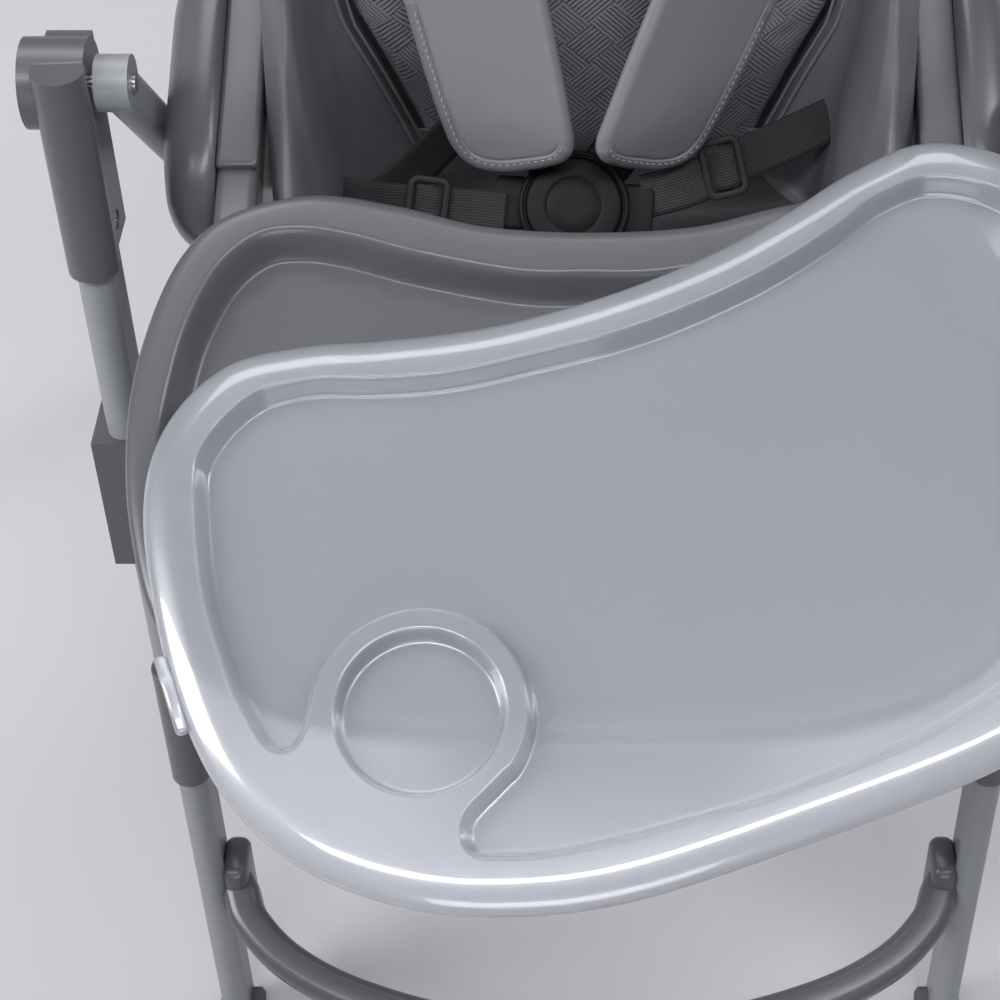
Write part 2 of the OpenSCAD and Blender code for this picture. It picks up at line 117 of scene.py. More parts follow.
studio_floor, tree = blank("painted_studio_floor")
paint = add(tree, "BsdfPrincipled", {"Base Color": linear("#b2b0b4"), "Roughness": 0.75,
                                     "Specular IOR Level": 0.2})
add(tree, "OutputMaterial", {"Surface": (paint, "BSDF")})
floor_half = 6000
floor = piece("floor", [(-floor_half, -floor_half, 0), (floor_half, -floor_half, 0),
                        (floor_half, floor_half, 0), (-floor_half, floor_half, 0)],
              [(0, 1, 2, 3)], studio_floor, smooth=False)

world = bpy.data.worlds.new("studio")
world.use_nodes = True
world.node_tree.nodes["Background"].inputs["Color"].default_value = linear("#e9ebf2")
world.node_tree.nodes["Background"].inputs["Strength"].default_value = 0.2
bpy.context.scene.world = world


def soft_box(name, position, aim, size, watts):
    """A rectangular soft box at position, turned towards aim; both are in metres."""
    light = bpy.data.lights.new(name, "AREA")
    light.shape = "RECTANGLE"
    light.size, light.size_y = size
    light.energy = watts
    held = bpy.data.objects.new(name, light)
    bpy.context.scene.collection.objects.link(held)
    held.location = position
    held.rotation_euler = (Vector(aim) - Vector(position)).to_track_quat("-Z", "Y").to_euler()


tray_middle = (0.0, -0.15, 0.76)
soft_box("overhead_strip", (0.1, -0.42, 3.0), tray_middle, (2.4, 0.35), 40)
soft_box("rear_box", (-0.3, 2.0, 2.6), tray_middle, (2.2, 1.2), 32)
soft_box("front_box", (0.2, -2.5, 1.75), tray_middle, (1.8, 0.8), 22)
soft_box("left_box", (-2.1, -0.2, 2.1), tray_middle, (0.7, 1.8), 58)
soft_box("right_strip", (2.1, 0.9, 2.4), tray_middle, (0.4, 1.6), 28)

# ---------- Painted steel tubes ----------
# The front and rear legs and the bars between the rear legs are welded steel tube under a
# satin powder coat, which flows into a faint orange peel as it cures.


def lighter(colour, factor):
    """A hex colour as linear RGBA, brightened by a factor."""
    return [c * factor for c in linear(colour)[:3]] + [1.0]


def powder_coat(name, colour):
    """Polyester powder on steel: IOR about 1.5, satin, with peel about 1.5 mm across."""
    peel_width = 1.5
    material, tree = blank(name)
    place = add(tree, "TexCoord")
    peel = add(tree, "TexNoise", {"Vector": (place, "Object"), "Scale": 1000 / peel_width,
                                  "Detail": 1.5})
    cloud = add(tree, "TexNoise", {"Vector": (place, "Object"), "Scale": 9.0, "Detail": 3.0})
    tone = add(tree, "MixRGB", {"Fac": (cloud, "Fac"), "Color1": linear(colour),
                                "Color2": lighter(colour, 1.08)})
    gloss = add(tree, "MapRange", {"Value": (cloud, "Fac"), "To Min": 0.38, "To Max": 0.46})
    relief = add(tree, "Bump", {"Height": (peel, "Fac"), "Strength": 0.25, "Distance": 0.00006})
    skin = add(tree, "BsdfPrincipled",
               {"Base Color": (tone, "Color"), "Roughness": (gloss, "Result"),
                "Normal": (relief, "Normal"), "IOR": 1.5})
    add(tree, "OutputMaterial", {"Surface": (skin, "BSDF")})
    return material


def refine(node_name, material, edge):
    """Gives a carried-over node its material, and rounds its sharp edges by edge millimetres."""
    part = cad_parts[node_name]
    part.data.materials.clear()
    part.data.materials.append(material)
    weld = part.modifiers.new("weld", "WELD")
    weld.merge_threshold = 0.00002
    if edge:
        bevel = part.modifiers.new("edges", "BEVEL")
        bevel.width = edge * MM
        bevel.segments = 3
        bevel.limit_method = "ANGLE"
        bevel.angle_limit = math.radians(35)
    normals = part.modifiers.new("normals", "WEIGHTED_NORMAL")
    normals.weight = 60


frame_paint = powder_coat("powder_coated_steel", "#7f8287")
for node_name in (*(f"{end}_leg_{side}" for end in ("front", "rear") for side in SIDES),
                  "rear_crossbar", "rear_base_bar"):
    refine(node_name, frame_paint, 0.5)

# ---------- Plain moulded parts ----------
# Collars, feet, carriages, rails, pins and buttons are small injection mouldings and turned
# steel parts. Their tools are spark-eroded, which leaves an even matt grain.


def moulded(name, colour, roughness, grain=0.5, depth=0.00004, shine=0.5):
    """Polypropylene or nylon from a spark-eroded tool: IOR 1.49, grain about half a millimetre."""
    material, tree = blank(name)
    place = add(tree, "TexCoord")
    spark = add(tree, "TexNoise", {"Vector": (place, "Object"), "Scale": 1000 / grain,
                                   "Detail": 3.0, "Roughness": 0.65})
    cloud = add(tree, "TexNoise", {"Vector": (place, "Object"), "Scale": 14.0, "Detail": 2.0})
    tone = add(tree, "MixRGB", {"Fac": (cloud, "Fac"), "Color1": linear(colour),
                                "Color2": lighter(colour, 1.07)})
    gloss = add(tree, "MapRange", {"Value": (spark, "Fac"), "To Min": roughness - 0.05,
                                   "To Max": roughness + 0.06})
    relief = add(tree, "Bump", {"Height": (spark, "Fac"), "Strength": 0.35, "Distance": depth})
    skin = add(tree, "BsdfPrincipled",
               {"Base Color": (tone, "Color"), "Roughness": (gloss, "Result"),
                "Normal": (relief, "Normal"), "IOR": 1.49, "Specular IOR Level": shine})
    add(tree, "OutputMaterial", {"Surface": (skin, "BSDF")})
    return material


# Polypropylene shells are the smoothest, nylon carriages the driest; the feet are a matt
# thermoplastic rubber with a coarser grain.
grey_plastic = moulded("moulded_grey_polypropylene", "#4e4f53", 0.29)
dark_plastic = moulded("moulded_dark_nylon", "#4e4f54", 0.5)
button_plastic = moulded("moulded_button_acetal", "#3c3d41", 0.38)
foot_rubber = moulded("moulded_foot_rubber", "#4a4b4e", 0.72, grain=0.8)

# Pins and screw heads are bright zinc plate, slightly hazy.
steel, tree = blank("zinc_plated_steel")
place = add(tree, "TexCoord")
haze = add(tree, "TexNoise", {"Vector": (place, "Object"), "Scale": 900.0, "Detail": 2.0})
gloss = add(tree, "MapRange", {"Value": (haze, "Fac"), "To Min": 0.22, "To Max": 0.36})
skin = add(tree, "BsdfPrincipled", {"Base Color": linear("#b4b6ba"), "Metallic": 1.0,
                                    "Roughness": (gloss, "Result")})
add(tree, "OutputMaterial", {"Surface": (skin, "BSDF")})

for side in SIDES:
    for node_name, material, edge in (
            ("leg_collar", grey_plastic, 1.0), ("hinge_housing", grey_plastic, 1.6),
            ("front_foot", foot_rubber, 2.0), ("rear_foot", foot_rubber, 2.0),
            ("fold_button", button_plastic, 1.0), ("height_button", button_plastic, 0.8),
            ("carriage", dark_plastic, 1.5), ("tray_rail", dark_plastic, 0.8),
            ("tray_release", button_plastic, 1.5)):
        refine(f"{node_name}_{side}", material, edge)
for node_name in ("hinge_screws", "fold_pins", "recline_pins", "legrest_pins"):
    refine(node_name, steel, 0.2)
for node_name in ("seat_shell", "backrest_shell", "legrest_panel"):
    refine(node_name, grey_plastic, 1.0)
for node_name in ("recline_handle", "foot_plate"):
    refine(node_name, dark_plastic, 1.5)

# ---------- Front crossbar ----------
# A bowed bar of glass-filled polypropylene that ties the front legs together. It is moulded
# in one piece with the sockets that clamp on to the legs' inner sides.


def spline(control, steps, closed=False):
    """A Catmull-Rom curve through control, with steps points to each stretch."""
    p = np.asarray(control, float)
    count = len(p)
    stretches = count if closed else count - 1
    made = []
    for i in range(stretches):
        if closed:
            a, b, c, d = (p[(i + k) % count] for k in (-1, 0, 1, 2))
        else:
            a, b, c, d = (p[min(max(i + k, 0), count - 1)] for k in (-1, 0, 1, 2))
        for t in np.arange(steps) / steps:
            made.append(0.5 * (2 * b + (c - a) * t + (2 * a - 5 * b + 4 * c - d) * t ** 2
                               + (3 * b - a - 3 * c + d) * t ** 3))
    if not closed:
        made.append(p[-1])
    return np.array(made)


def rounded(width, height, radius, steps=5):
    """A closed loop: a rectangle about the origin, its corners rounded."""
    made = []
    for corner, (sx, sy) in enumerate(((1, 1), (-1, 1), (-1, -1), (1, -1))):
        for t in np.linspace(0, math.pi / 2, steps):
            angle = t + corner * math.pi / 2
            made.append((sx * (width / 2 - radius) + radius * math.cos(angle),
                         sy * (height / 2 - radius) + radius * math.sin(angle)))
    return np.array(made)


def face_outward(made):
    """Turns all the faces of a closed mesh to look out of it."""
    edit = bmesh.new()
    edit.from_mesh(made.data)
    bmesh.ops.recalc_face_normals(edit, faces=edit.faces)
    edit.to_mesh(made.data)
    edit.free()


def loft(name, rings, material, ends=True):
    """A skin over rings, which are closed loops with equally many points, in millimetres."""
    rings = np.asarray(rings, float)
    count, size = rings.shape[:2]
    faces = [(r * size + i, r * size + (i + 1) % size, (r + 1) * size + (i + 1) % size,
              (r + 1) * size + i) for r in range(count - 1) for i in range(size)]
    if ends:
        faces += [tuple(range(size))[::-1], tuple((count - 1) * size + i for i in range(size))]
    made = piece(name, rings.reshape(-1, 3), faces, material)
    face_outward(made)
    made.data.shade_smooth()
    return made


def unit(vectors):
    """Each vector at length 1."""
    return vectors / np.linalg.norm(vectors, axis=1)[:, None]


def sweep(path, section, up=(0, 0, 1)):
    """Rings of a section carried along a path: its x stays level and square to the path."""
    path = np.asarray(path, float)
    step = unit(np.gradient(path, axis=0))
    across = unit(np.cross(step, np.broadcast_to(up, step.shape)))
    rise = np.cross(across, step)
    return (path[:, None] + section[None, :, :1] * across[:, None]
            + section[None, :, 1:] * rise[:, None])


def join(name, parts):
    """Several objects made into one."""
    with bpy.context.temp_override(active_object=parts[0], object=parts[0],
                                   selected_objects=parts, selected_editable_objects=parts):
        bpy.ops.object.join()
    parts[0].name = name
    return parts[0]


def finished(made, body, slot, *nodes):
    """Says which body a piece rides on and the CAD nodes it stands for; its slot is not used."""
    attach(made, body)
    if nodes:
        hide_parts(*nodes)


def leaned(points, lean, origin):
    """Points of a part in the frame: the part leans back about the x axis, from its origin."""
    x, y, z = np.asarray(points, float).reshape(-1, 3).T
    c, s = math.cos(lean), math.sin(lean)
    return np.column_stack([origin[0] + x, origin[1] + c * y + s * z, origin[2] + c * z - s * y])


front_lean = math.radians(24.15)
front_foot = -311.5
leg_x = 271


def on_front_leg(side, points):
    """Points beside a front leg, z up along it and y behind it, in the frame."""
    return leaned(points, front_lean, (SIDES[side] * leg_x, front_foot, 0))


bow = spline([(-261, -214), (-252, -230), (-243, -252), (-214, -281), (-165, -306), (-90, -326),
              (0, -332), (90, -326), (165, -306), (214, -281), (243, -252), (252, -230),
              (261, -214)], 9)
bar_middle = 181
bar = loft("crossbar_bow", sweep(np.column_stack([bow, np.full(len(bow), bar_middle)]),
                                 rounded(26, 30, 9, 6)), grey_plastic)
sockets = [bar]
for side, sign in SIDES.items():
    stations = [(175, 0.72), (177, 0.9), (181, 1), (223, 1), (227, 0.9), (229, 0.72)]
    ring = rounded(18, 38, 7, 6)
    rings = [on_front_leg(side, [(-sign * 17 + k * x, 11 + k * y, z) for x, y in ring])
             for z, k in stations]
    sockets.append(loft("socket", rings, grey_plastic))
finished(join("front_crossbar_bow", sockets), "front_frame", "grey_plastic", "front_crossbar")

# ---------- Armrests and side covers ----------
# Each armrest is a long hollow moulding with a separate grip on its rear half. Outside it a
# domed cover hides the recline hinge; a fine shadow gap is left between all three.

arm_x = 190.5
arm_top = 731
rail_section = rounded(22.6, 26, 5, 6)
rail_middle = arm_top - 13
grip_section = rounded(22.8, 7, 3, 6)


def arm_length(name, sign, section, middle, stations):
    """A straight length of armrest; stations are (y, share of the section's size)."""
    return loft(name, [[(sign * arm_x + k * x, y, middle + k * z) for x, z in section]
                       for y, k in stations], grey_plastic)


for side, sign in SIDES.items():
    rail = arm_length("rail", sign, rail_section, rail_middle,
                      [(-150, 0.7), (-149, 0.88), (-145, 1), (41, 1), (41.6, 0.97)])
    rear = arm_length("rear", sign, rail_section, rail_middle,
                      [(42.2, 0.95), (43, 0.985), (45, 1), (184, 1), (186, 0.9)])
    finished(join(f"armrest_rail_{side}", [rail, rear]), "seat", "grey_plastic",
             f"armrest_{side}")
    grip = arm_length(f"armrest_grip_{side}", sign, grip_section, arm_top,
                      [(42.5, 0.9), (43.5, 0.98), (46, 1), (183, 1), (186, 0.85)])
    finished(grip, "seat", "dark_plastic", f"arm_pad_{side}")

cover_side = [(16, 700), (26, 722), (52, 737), (104, 742), (160, 738), (186, 715), (186, 670),
              (160, 645), (104, 636), (52, 644), (24, 668)]
cover_edge = spline(cover_side, 8, closed=True)
cover_ridge = np.column_stack([np.clip(cover_edge[:, 0], 74, 140), np.full(len(cover_edge), 690)])
cover_flange = 202.6
cover_skirt = 209
cover_rise = 25
cover_shoulder = 0.5
for side, sign in SIDES.items():
    stations = [(0, cover_flange), (0, cover_skirt)]
    for t in (0.01, 0.03, 0.07, 0.12, 0.18, 0.25, 0.34, 0.44, 0.55, 0.7, 0.85, 0.97):
        climb = math.sqrt(1 - (1 - min(t / cover_shoulder, 1)) ** 2)
        stations.append((t, cover_skirt + cover_rise * climb))
    rings = []
    for t, x in stations:
        loop = cover_edge + t * (cover_ridge - cover_edge)
        rings.append(np.column_stack([np.full(len(loop), sign * x), loop]))
    cover = loft(f"side_cover_dome_{side}", rings, grey_plastic)
    finished(cover, "seat", "grey_plastic", f"side_cover_{side}")

# ---------- Stuffed covers ----------
# The seat, legrest and back cushions and the two side bolsters are polyurethane foam in sewn
# covers, of leatherette except the back's, with piping along the bolsters' seams. Each is a
# closed form swollen by air pressure between its seams, which stay where they were sewn.


def leatherette(name, colour, sheen_colour, crease=1.1):
    """Polyurethane-coated knit: a fine pebbled grain about a millimetre across, satin."""
    material, tree = blank(name)
    place = add(tree, "TexCoord")
    pebble = add(tree, "TexVoronoi", {"Vector": (place, "Object"), "Scale": 1000 / crease},
                 feature="SMOOTH_F1")
    fine = add(tree, "TexNoise", {"Vector": (place, "Object"), "Scale": 1600.0, "Detail": 3.0})
    cloud = add(tree, "TexNoise", {"Vector": (place, "Object"), "Scale": 11.0, "Detail": 3.0})
    tone = add(tree, "MixRGB", {"Fac": (cloud, "Fac"), "Color1": linear(colour),
                                "Color2": lighter(colour, 1.12)})
    height = add(tree, "Math", {0: (pebble, "Distance"), 1: (fine, "Fac")}, operation="ADD")
    gloss = add(tree, "MapRange", {"Value": (fine, "Fac"), "To Min": 0.4, "To Max": 0.5})
    relief = add(tree, "Bump", {"Height": (height, "Value"), "Strength": 0.32,
                                "Distance": 0.00016})
    skin = add(tree, "BsdfPrincipled",
               {"Base Color": (tone, "Color"), "Roughness": (gloss, "Result"),
                "Normal": (relief, "Normal"), "IOR": 1.46, "Sheen Weight": 0.12,
                "Sheen Roughness": 0.4, "Sheen Tint": linear(sheen_colour)})
    add(tree, "OutputMaterial", {"Surface": (skin, "BSDF")})
    return material


cushion_leather = leatherette("grey_leatherette", "#55545a", "#b9b9c2")
pad_leather = leatherette("shoulder_pad_leatherette", "#6b6b70", "#c3c3cb", crease=0.9)
binding_leather = leatherette("binding_leatherette", "#616166", "#b9b9c2", crease=0.8)


def quarter_round(depth, reach):
    """A rounded edge's height, from 0 at the edge to 1 at reach and beyond."""
    return np.sqrt(np.clip(1 - (1 - np.clip(depth / reach, 0, 1)) ** 2, 0, 1))


def settle(made, modifier):
    """Applies one modifier of a piece to its mesh."""
    with bpy.context.temp_override(object=made, active_object=made, selected_objects=[made]):
        bpy.ops.object.modifier_apply(modifier=modifier)


cloth_steps = 20


def swell(soft, pinned, cap, pressure=4.0):
    """Inflates a cover like stuffing does. Pinned points stay, and none moves beyond cap mm."""
    scene = bpy.context.scene
    before = np.array([v.co for v in soft.data.vertices])
    group = soft.vertex_groups.new(name="seams")
    group.add([int(i) for i in pinned], 1.0, "REPLACE")
    cloth = soft.modifiers.new("cover", "CLOTH")
    cloth.settings.vertex_group_mass = "seams"
    cloth.settings.use_pressure = True
    cloth.settings.uniform_pressure_force = pressure
    cloth.settings.effector_weights.gravity = 0
    cloth.point_cache.frame_start = 1
    cloth.point_cache.frame_end = cloth_steps
    for moment in range(1, cloth_steps + 1):
        scene.frame_set(moment)
    swollen = soft.evaluated_get(bpy.context.evaluated_depsgraph_get())
    move = np.array([v.co for v in swollen.data.vertices]) - before
    length = np.linalg.norm(move, axis=1)[:, None]
    after = before + move * np.minimum(1, cap * MM / np.maximum(length, 1e-9))
    soft.modifiers.remove(cloth)
    soft.vertex_groups.remove(group)
    soft.data.vertices.foreach_set("co", after.astype(np.float32).ravel())
    soft.data.update()
    scene.frame_set(1)
    smoother = soft.modifiers.new("smoother", "SUBSURF")
    smoother.levels = smoother.render_levels = 1
    settle(soft, "smoother")
    soft.data.shade_smooth()
    return soft


def stuffed(name, side_line, rise, edge, seams, place, material, cap, spacing=6.0):
    """A closed cushion on a flat base.

    side_line lists (half width, distance up the cushion); rise is its thickness and edge how
    far its rim takes to reach it. seams(u, v) is 1 on a stitched line and 0 off it, and
    place takes (u, v, w) points, w out of the base, to the frame.
    """
    line = np.array(side_line, float)
    v = np.linspace(line[0, 1], line[-1, 1], round((line[-1, 1] - line[0, 1]) / spacing) + 1)
    half = np.interp(v, line[:, 1], line[:, 0])
    columns = round(2 * half.max() / spacing) + 1
    share = np.linspace(-1, 1, columns)
    u = half[:, None] * share[None, :]
    vv = np.repeat(v[:, None], columns, 1)
    depth = np.minimum(np.minimum(half[:, None] - np.abs(u), vv - v[0]), v[-1] - vv)
    stitched = seams(u, vv)
    top = rise * (0.3 + 0.7 * quarter_round(depth, edge)) * (1 - 0.3 * stitched)
    base = 1.5 * (1 - quarter_round(depth, 6))
    rows = len(v)
    upper = np.column_stack([u.ravel(), vv.ravel(), top.ravel()])
    lower = np.column_stack([u.ravel(), vv.ravel(), base.ravel()])
    total = rows * columns
    faces = []
    for r in range(rows - 1):
        for c in range(columns - 1):
            a = r * columns + c
            faces.append((a, a + 1, a + columns + 1, a + columns))
            faces.append((total + a + columns, total + a + columns + 1, total + a + 1, total + a))
    rim = ([(0, c) for c in range(columns)] + [(r, columns - 1) for r in range(1, rows)]
           + [(rows - 1, c) for c in range(columns - 2, -1, -1)]
           + [(r, 0) for r in range(rows - 2, 0, -1)])
    ids = [r * columns + c for r, c in rim]
    for a, b in zip(ids, ids[1:] + ids[:1]):
        faces.append((b, a, total + a, total + b))
    made = piece(name, place(np.vstack([upper, lower])), faces, material)
    face_outward(made)
    pinned = np.concatenate([np.flatnonzero(stitched.ravel() > 0.8),
                             total + np.arange(total)])
    return swell(made, pinned, cap)


def groove(distance, width):
    """1 on a stitched line, falling to 0 at width from it."""
    return np.clip(1 - np.abs(distance) / width, 0, 1) ** 0.7


def piping(name, path, radius, material, up=(0, 0, 1)):
    """A cord sewn into a seam in a strip of the cover's own material."""
    return loft(name, sweep(path, rounded(2 * radius, 2 * radius, radius * 0.98, 4), up), material)


seat_side = [(161, -140), (173, -137), (182, -128), (185, -114), (185, 100), (182, 122),
             (172, 134), (158, 140)]
seat_top = 546


seat_panel = 138
seat_channels = (-112, -62, -12)
no_seam = 99


def seat_seams(u, v):
    """A panel seam round the seat, and three stitched channels across its front half."""
    panel = np.where(np.abs(v) < 112, np.abs(np.abs(u) - seat_panel), no_seam)
    across = np.min([np.abs(v - row) for row in seat_channels], axis=0)
    across = np.where(np.abs(u) < seat_panel, across, no_seam)
    slot = np.hypot(u / 3, (v - 15)) - 4
    return groove(np.minimum(np.minimum(panel, across), np.maximum(slot, 0)), 7)


def on_seat(points):
    """Points of the seat cushion in the frame: w straight up from its base."""
    return np.column_stack([points[:, 0], points[:, 1] - 40, seat_top + points[:, 2]])


seat = stuffed("seat_cushion_cover", seat_side, 21, 24, seat_seams, on_seat, cushion_leather, 7)
finished(seat, "seat", "leatherette", "seat_cushion")

back_lean = math.radians(18)
recline_axis = (132, 585)


def on_back(points):
    """Points of the backrest, z up along it and y behind it, in the frame."""
    return leaned(points, back_lean, (0, *recline_axis))


# The back panel is a knitted polyester with a slight shine, hot-pressed with a pattern of
# slanting ribs, 3.6 mm apart across the panel, in tiles 28 mm from corner to corner.
rib_pitch = 3.6
tile = 28.0
back_fabric, tree = blank("embossed_polyester")
place = add(tree, "TexCoord")
along = add(tree, "VectorRotate", {"Vector": (place, "Object"), "Angle": back_lean},
            rotation_type="X_AXIS")
across = add(tree, "SeparateXYZ", {"Vector": (along, "Vector")})
rising = add(tree, "Math", {0: (across, "X"), 1: (across, "Z")}, operation="ADD")
falling = add(tree, "Math", {0: (across, "X"), 1: (across, "Z")}, operation="SUBTRACT")
cell_a = add(tree, "Math", {0: (rising, "Value"), 1: 1000 / tile}, operation="MULTIPLY")
cell_b = add(tree, "Math", {0: (falling, "Value"), 1: 1000 / tile}, operation="MULTIPLY")
floor_a = add(tree, "Math", {0: (cell_a, "Value")}, operation="FLOOR")
floor_b = add(tree, "Math", {0: (cell_b, "Value")}, operation="FLOOR")
both = add(tree, "Math", {0: (floor_a, "Value"), 1: (floor_b, "Value")}, operation="ADD")
odd = add(tree, "Math", {0: (both, "Value"), 1: 2.0}, operation="FLOORED_MODULO")
lane = add(tree, "Mix", {0: (odd, "Value"), 2: (cell_a, "Value"), 3: (cell_b, "Value")})
ribs = add(tree, "Math", {0: (lane, "Result"), 1: 2 * math.pi * tile / rib_pitch},
           operation="MULTIPLY")
wave = add(tree, "Math", {0: (ribs, "Value")}, operation="SINE")
pressed = add(tree, "MapRange", {"Value": (wave, "Value"), "From Min": 0.25, "From Max": 0.9})
knit = add(tree, "TexNoise", {"Vector": (place, "Object"), "Scale": 1400.0, "Detail": 2.0})
cloud = add(tree, "TexNoise", {"Vector": (place, "Object"), "Scale": 14.0, "Detail": 2.0})
tone = add(tree, "MixRGB", {"Fac": (cloud, "Fac"), "Color1": linear("#7c7b84"),
                            "Color2": linear("#97969f")})
# The pressed ribs are painted darker than the rest: painted shade in the grooves of the emboss.
tone_with_painted_shade = add(tree, "MixRGB", {"Fac": (pressed, "Result"), "Color1": (tone, "Color"),
                            "Color2": linear("#3f3e44")})
height = add(tree, "Math", {0: (knit, "Fac"), 1: (pressed, "Result")}, operation="SUBTRACT")
relief = add(tree, "Bump", {"Height": (height, "Value"), "Strength": 0.9, "Distance": 0.0009})
gloss = add(tree, "MapRange", {"Value": (pressed, "Result"), "To Min": 0.5, "To Max": 0.36})
skin = add(tree, "BsdfPrincipled",
           {"Base Color": (tone_with_painted_shade, "Color"), "Roughness": (gloss, "Result"),
            "Normal": (relief, "Normal"), "IOR": 1.5, "Sheen Weight": 0.55,
            "Sheen Roughness": 0.35, "Sheen Tint": linear("#c9c8d2")})
add(tree, "OutputMaterial", {"Surface": (skin, "BSDF")})

back_side = [(80, 14), (90, 18), (95, 24), (104, 50), (120, 92), (136, 130), (141, 160),
             (142, 190), (142, 395), (139, 413), (131, 426), (112, 436)]


back_panel = 96
back_channels = (246, 350)


def back_seams(u, v):
    """Two stitched channels across the back, and a seam down each side of its middle panel."""
    across = np.min([np.abs(v - row) for row in back_channels], axis=0)
    side_seam = np.where(v > 118, np.abs(np.abs(u) - back_panel), no_seam)
    return groove(np.minimum(np.where(np.abs(u) < back_panel, across, no_seam), side_seam), 7)


def on_back_front(points):
    """Points of the back cushion in the frame: v up it, w out to the child's back."""
    return on_back(np.column_stack([points[:, 0], -points[:, 2], points[:, 1]]))


back = stuffed("back_cushion_cover", back_side, 24, 22, back_seams, on_back_front, back_fabric, 6)
finished(back, "backrest", "back_fabric", "back_cushion")

wing_depth = np.array([(14, 146), (22, 160), (40, 167), (60, 166), (92, 149), (124, 120),
                       (160, 99), (190, 88), (280, 74), (380, 58), (420, 40), (436, 24)], float)
side_line = np.array(back_side, float)
wing_outer = 172
wing_columns = 46


def distance_along(path):
    """The distance from a path's start to each of its points."""
    return np.concatenate([[0], np.cumsum(np.linalg.norm(np.diff(path, axis=0), axis=1))])


for side, sign in SIDES.items():
    rings, edges = [], []
    for z in [16, 19, 24, 30, *np.arange(37, 424, 7.0), 428, 432, 435]:
        deep = np.interp(z, wing_depth[:, 0], wing_depth[:, 1])
        inner = np.interp(z, side_line[:, 1], side_line[:, 0]) + 3
        lip = -min(27.0, 0.75 * deep)
        wide, out = wing_outer - inner, -deep - lip
        corner = [(inner, -2), (inner, lip * 0.5), (inner, lip),
                  (inner + 0.38 * wide, lip + 0.14 * out),
                  (inner + 0.6 * wide, lip + 0.46 * out), (inner + 0.7 * wide, lip + 0.86 * out),
                  (inner + 0.84 * wide, lip + out), (wing_outer - 2, lip + 0.93 * out),
                  (wing_outer, lip + 0.78 * out), (wing_outer, lip + 0.4 * out),
                  (wing_outer, lip * 0.6), (wing_outer, -2)]
        line = spline(corner, 8)
        along = distance_along(line)
        marks = np.linspace(0, along[-1], wing_columns)
        loop = np.column_stack([np.interp(marks, along, line[:, k]) for k in range(2)])
        end = 0.55 * max(0, (22 - z) / 6) ** 2 + 0.5 * max(0, (z - 426) / 9) ** 2
        loop = loop + end * (loop.mean(0) - loop)
        rings.append(on_back([(sign * x, y, z) for x, y in loop]))
        edges.append((sign * (inner + 0.4), lip - 1.0, z))
    wing = loft(f"bolster_{side}", rings, cushion_leather)
    # Its back edges and its two ends are sewn down.
    sewn = [r * wing_columns + c for r in range(len(rings)) for c in range(wing_columns)
            if c < 6 or c > wing_columns - 5 or r < 2 or r > len(rings) - 3]
    swell(wing, sewn, 6, pressure=3.0)
    finished(wing, "backrest", "leatherette", f"side_bolster_{side}")
    edges = np.array(edges)
    inward = edges + np.array([-sign * 6.0, 0.3, 0])
    for name, path, radius in ((f"bolster_piping_{side}", edges, 1.25),
                               (f"back_piping_{side}", inward, 0.9)):
        seam_cord = piping(name, on_back(path), radius, binding_leather, up=(0, 1, 0))
        finished(seam_cord, "backrest", "leatherette")

legrest_lean = math.radians(12)
legrest_axis = (-197, 543)


def on_legrest_front(points):
    """Points of the legrest's face in the frame: v down its length, w out to the front."""
    u, v, w = points.T
    return leaned(np.column_stack([u, -2.2 - w, v - 108]), -legrest_lean, (0, *legrest_axis))


legrest_side = [(97, -90), (109, -87), (117, -79), (120, -66), (120, 66), (117, 79), (109, 87),
                (97, 90)]


legrest_panel = 92
legrest_channels = (-45, 0, 45)


def legrest_seams(u, v):
    """Three stitched channels across the legrest."""
    rows = np.min([np.abs(v - row) for row in legrest_channels], axis=0)
    return groove(np.where(np.abs(u) < legrest_panel, rows, no_seam), 6)


calf = stuffed("legrest_cushion", legrest_side, 10, 14, legrest_seams, on_legrest_front,
               cushion_leather, 3.5)
finished(calf, "legrest", "leatherette", "legrest_pad")

# A gusset of the same leatherette closes the gap between the seat and the back cushion.
gusset_line = spline([(84, 566), (98, 569), (109, 578), (116, 594), (121, 612), (128, 634)], 6)
gusset_half = 166
gusset_columns = 57
rows = np.linspace(-gusset_half, gusset_half, gusset_columns)
vertices = [(x, y + 2.5 * math.cos(x / 21) * math.sin(math.pi * i / len(gusset_line)), z)
            for i, (y, z) in enumerate(gusset_line) for x in rows]
faces = [(a, a + 1, a + gusset_columns + 1, a + gusset_columns)
         for r in range(len(gusset_line) - 1)
         for a in range(r * gusset_columns, (r + 1) * gusset_columns - 1)]
gusset = piece("seat_to_back_gusset", vertices, faces, cushion_leather)
cloth_wall = gusset.modifiers.new("wall", "SOLIDIFY")
cloth_wall.thickness = 0.9 * MM
settle(gusset, "wall")
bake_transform(gusset)

# ---------- Harness ----------
# A five-point harness: woven polyester webbing 25 mm wide, two foam shoulder pads in
# leatherette with a folded binding stitched down one side and the lower end, moulded
# tri-glides, and a round buckle whose whole middle is the button.

# Real webbing has ribs and yarns under a millimetre apart. That is too fine to show, so they
# are drawn wider here, in millimetres along and across each strap.
webbing, tree = blank("woven_polyester_webbing")
rib_gap = 1.3
yarn_gap = 1.6
place = add(tree, "UVMap")
split = add(tree, "SeparateXYZ", {"Vector": (place, "UV")})
length_turn = add(tree, "Math", {0: (split, "X"), 1: 2 * math.pi / rib_gap},
                  operation="MULTIPLY")
width_turn = add(tree, "Math", {0: (split, "Y"), 1: 2 * math.pi / yarn_gap},
                 operation="MULTIPLY")
twill = add(tree, "Math", {0: (width_turn, "Value"), 1: (length_turn, "Value")},
            operation="ADD")
rib = add(tree, "Math", {0: (length_turn, "Value")}, operation="SINE")
yarn = add(tree, "Math", {0: (twill, "Value")}, operation="SINE")
weave = add(tree, "Math", {0: (rib, "Value"), 1: (yarn, "Value")}, operation="MULTIPLY")
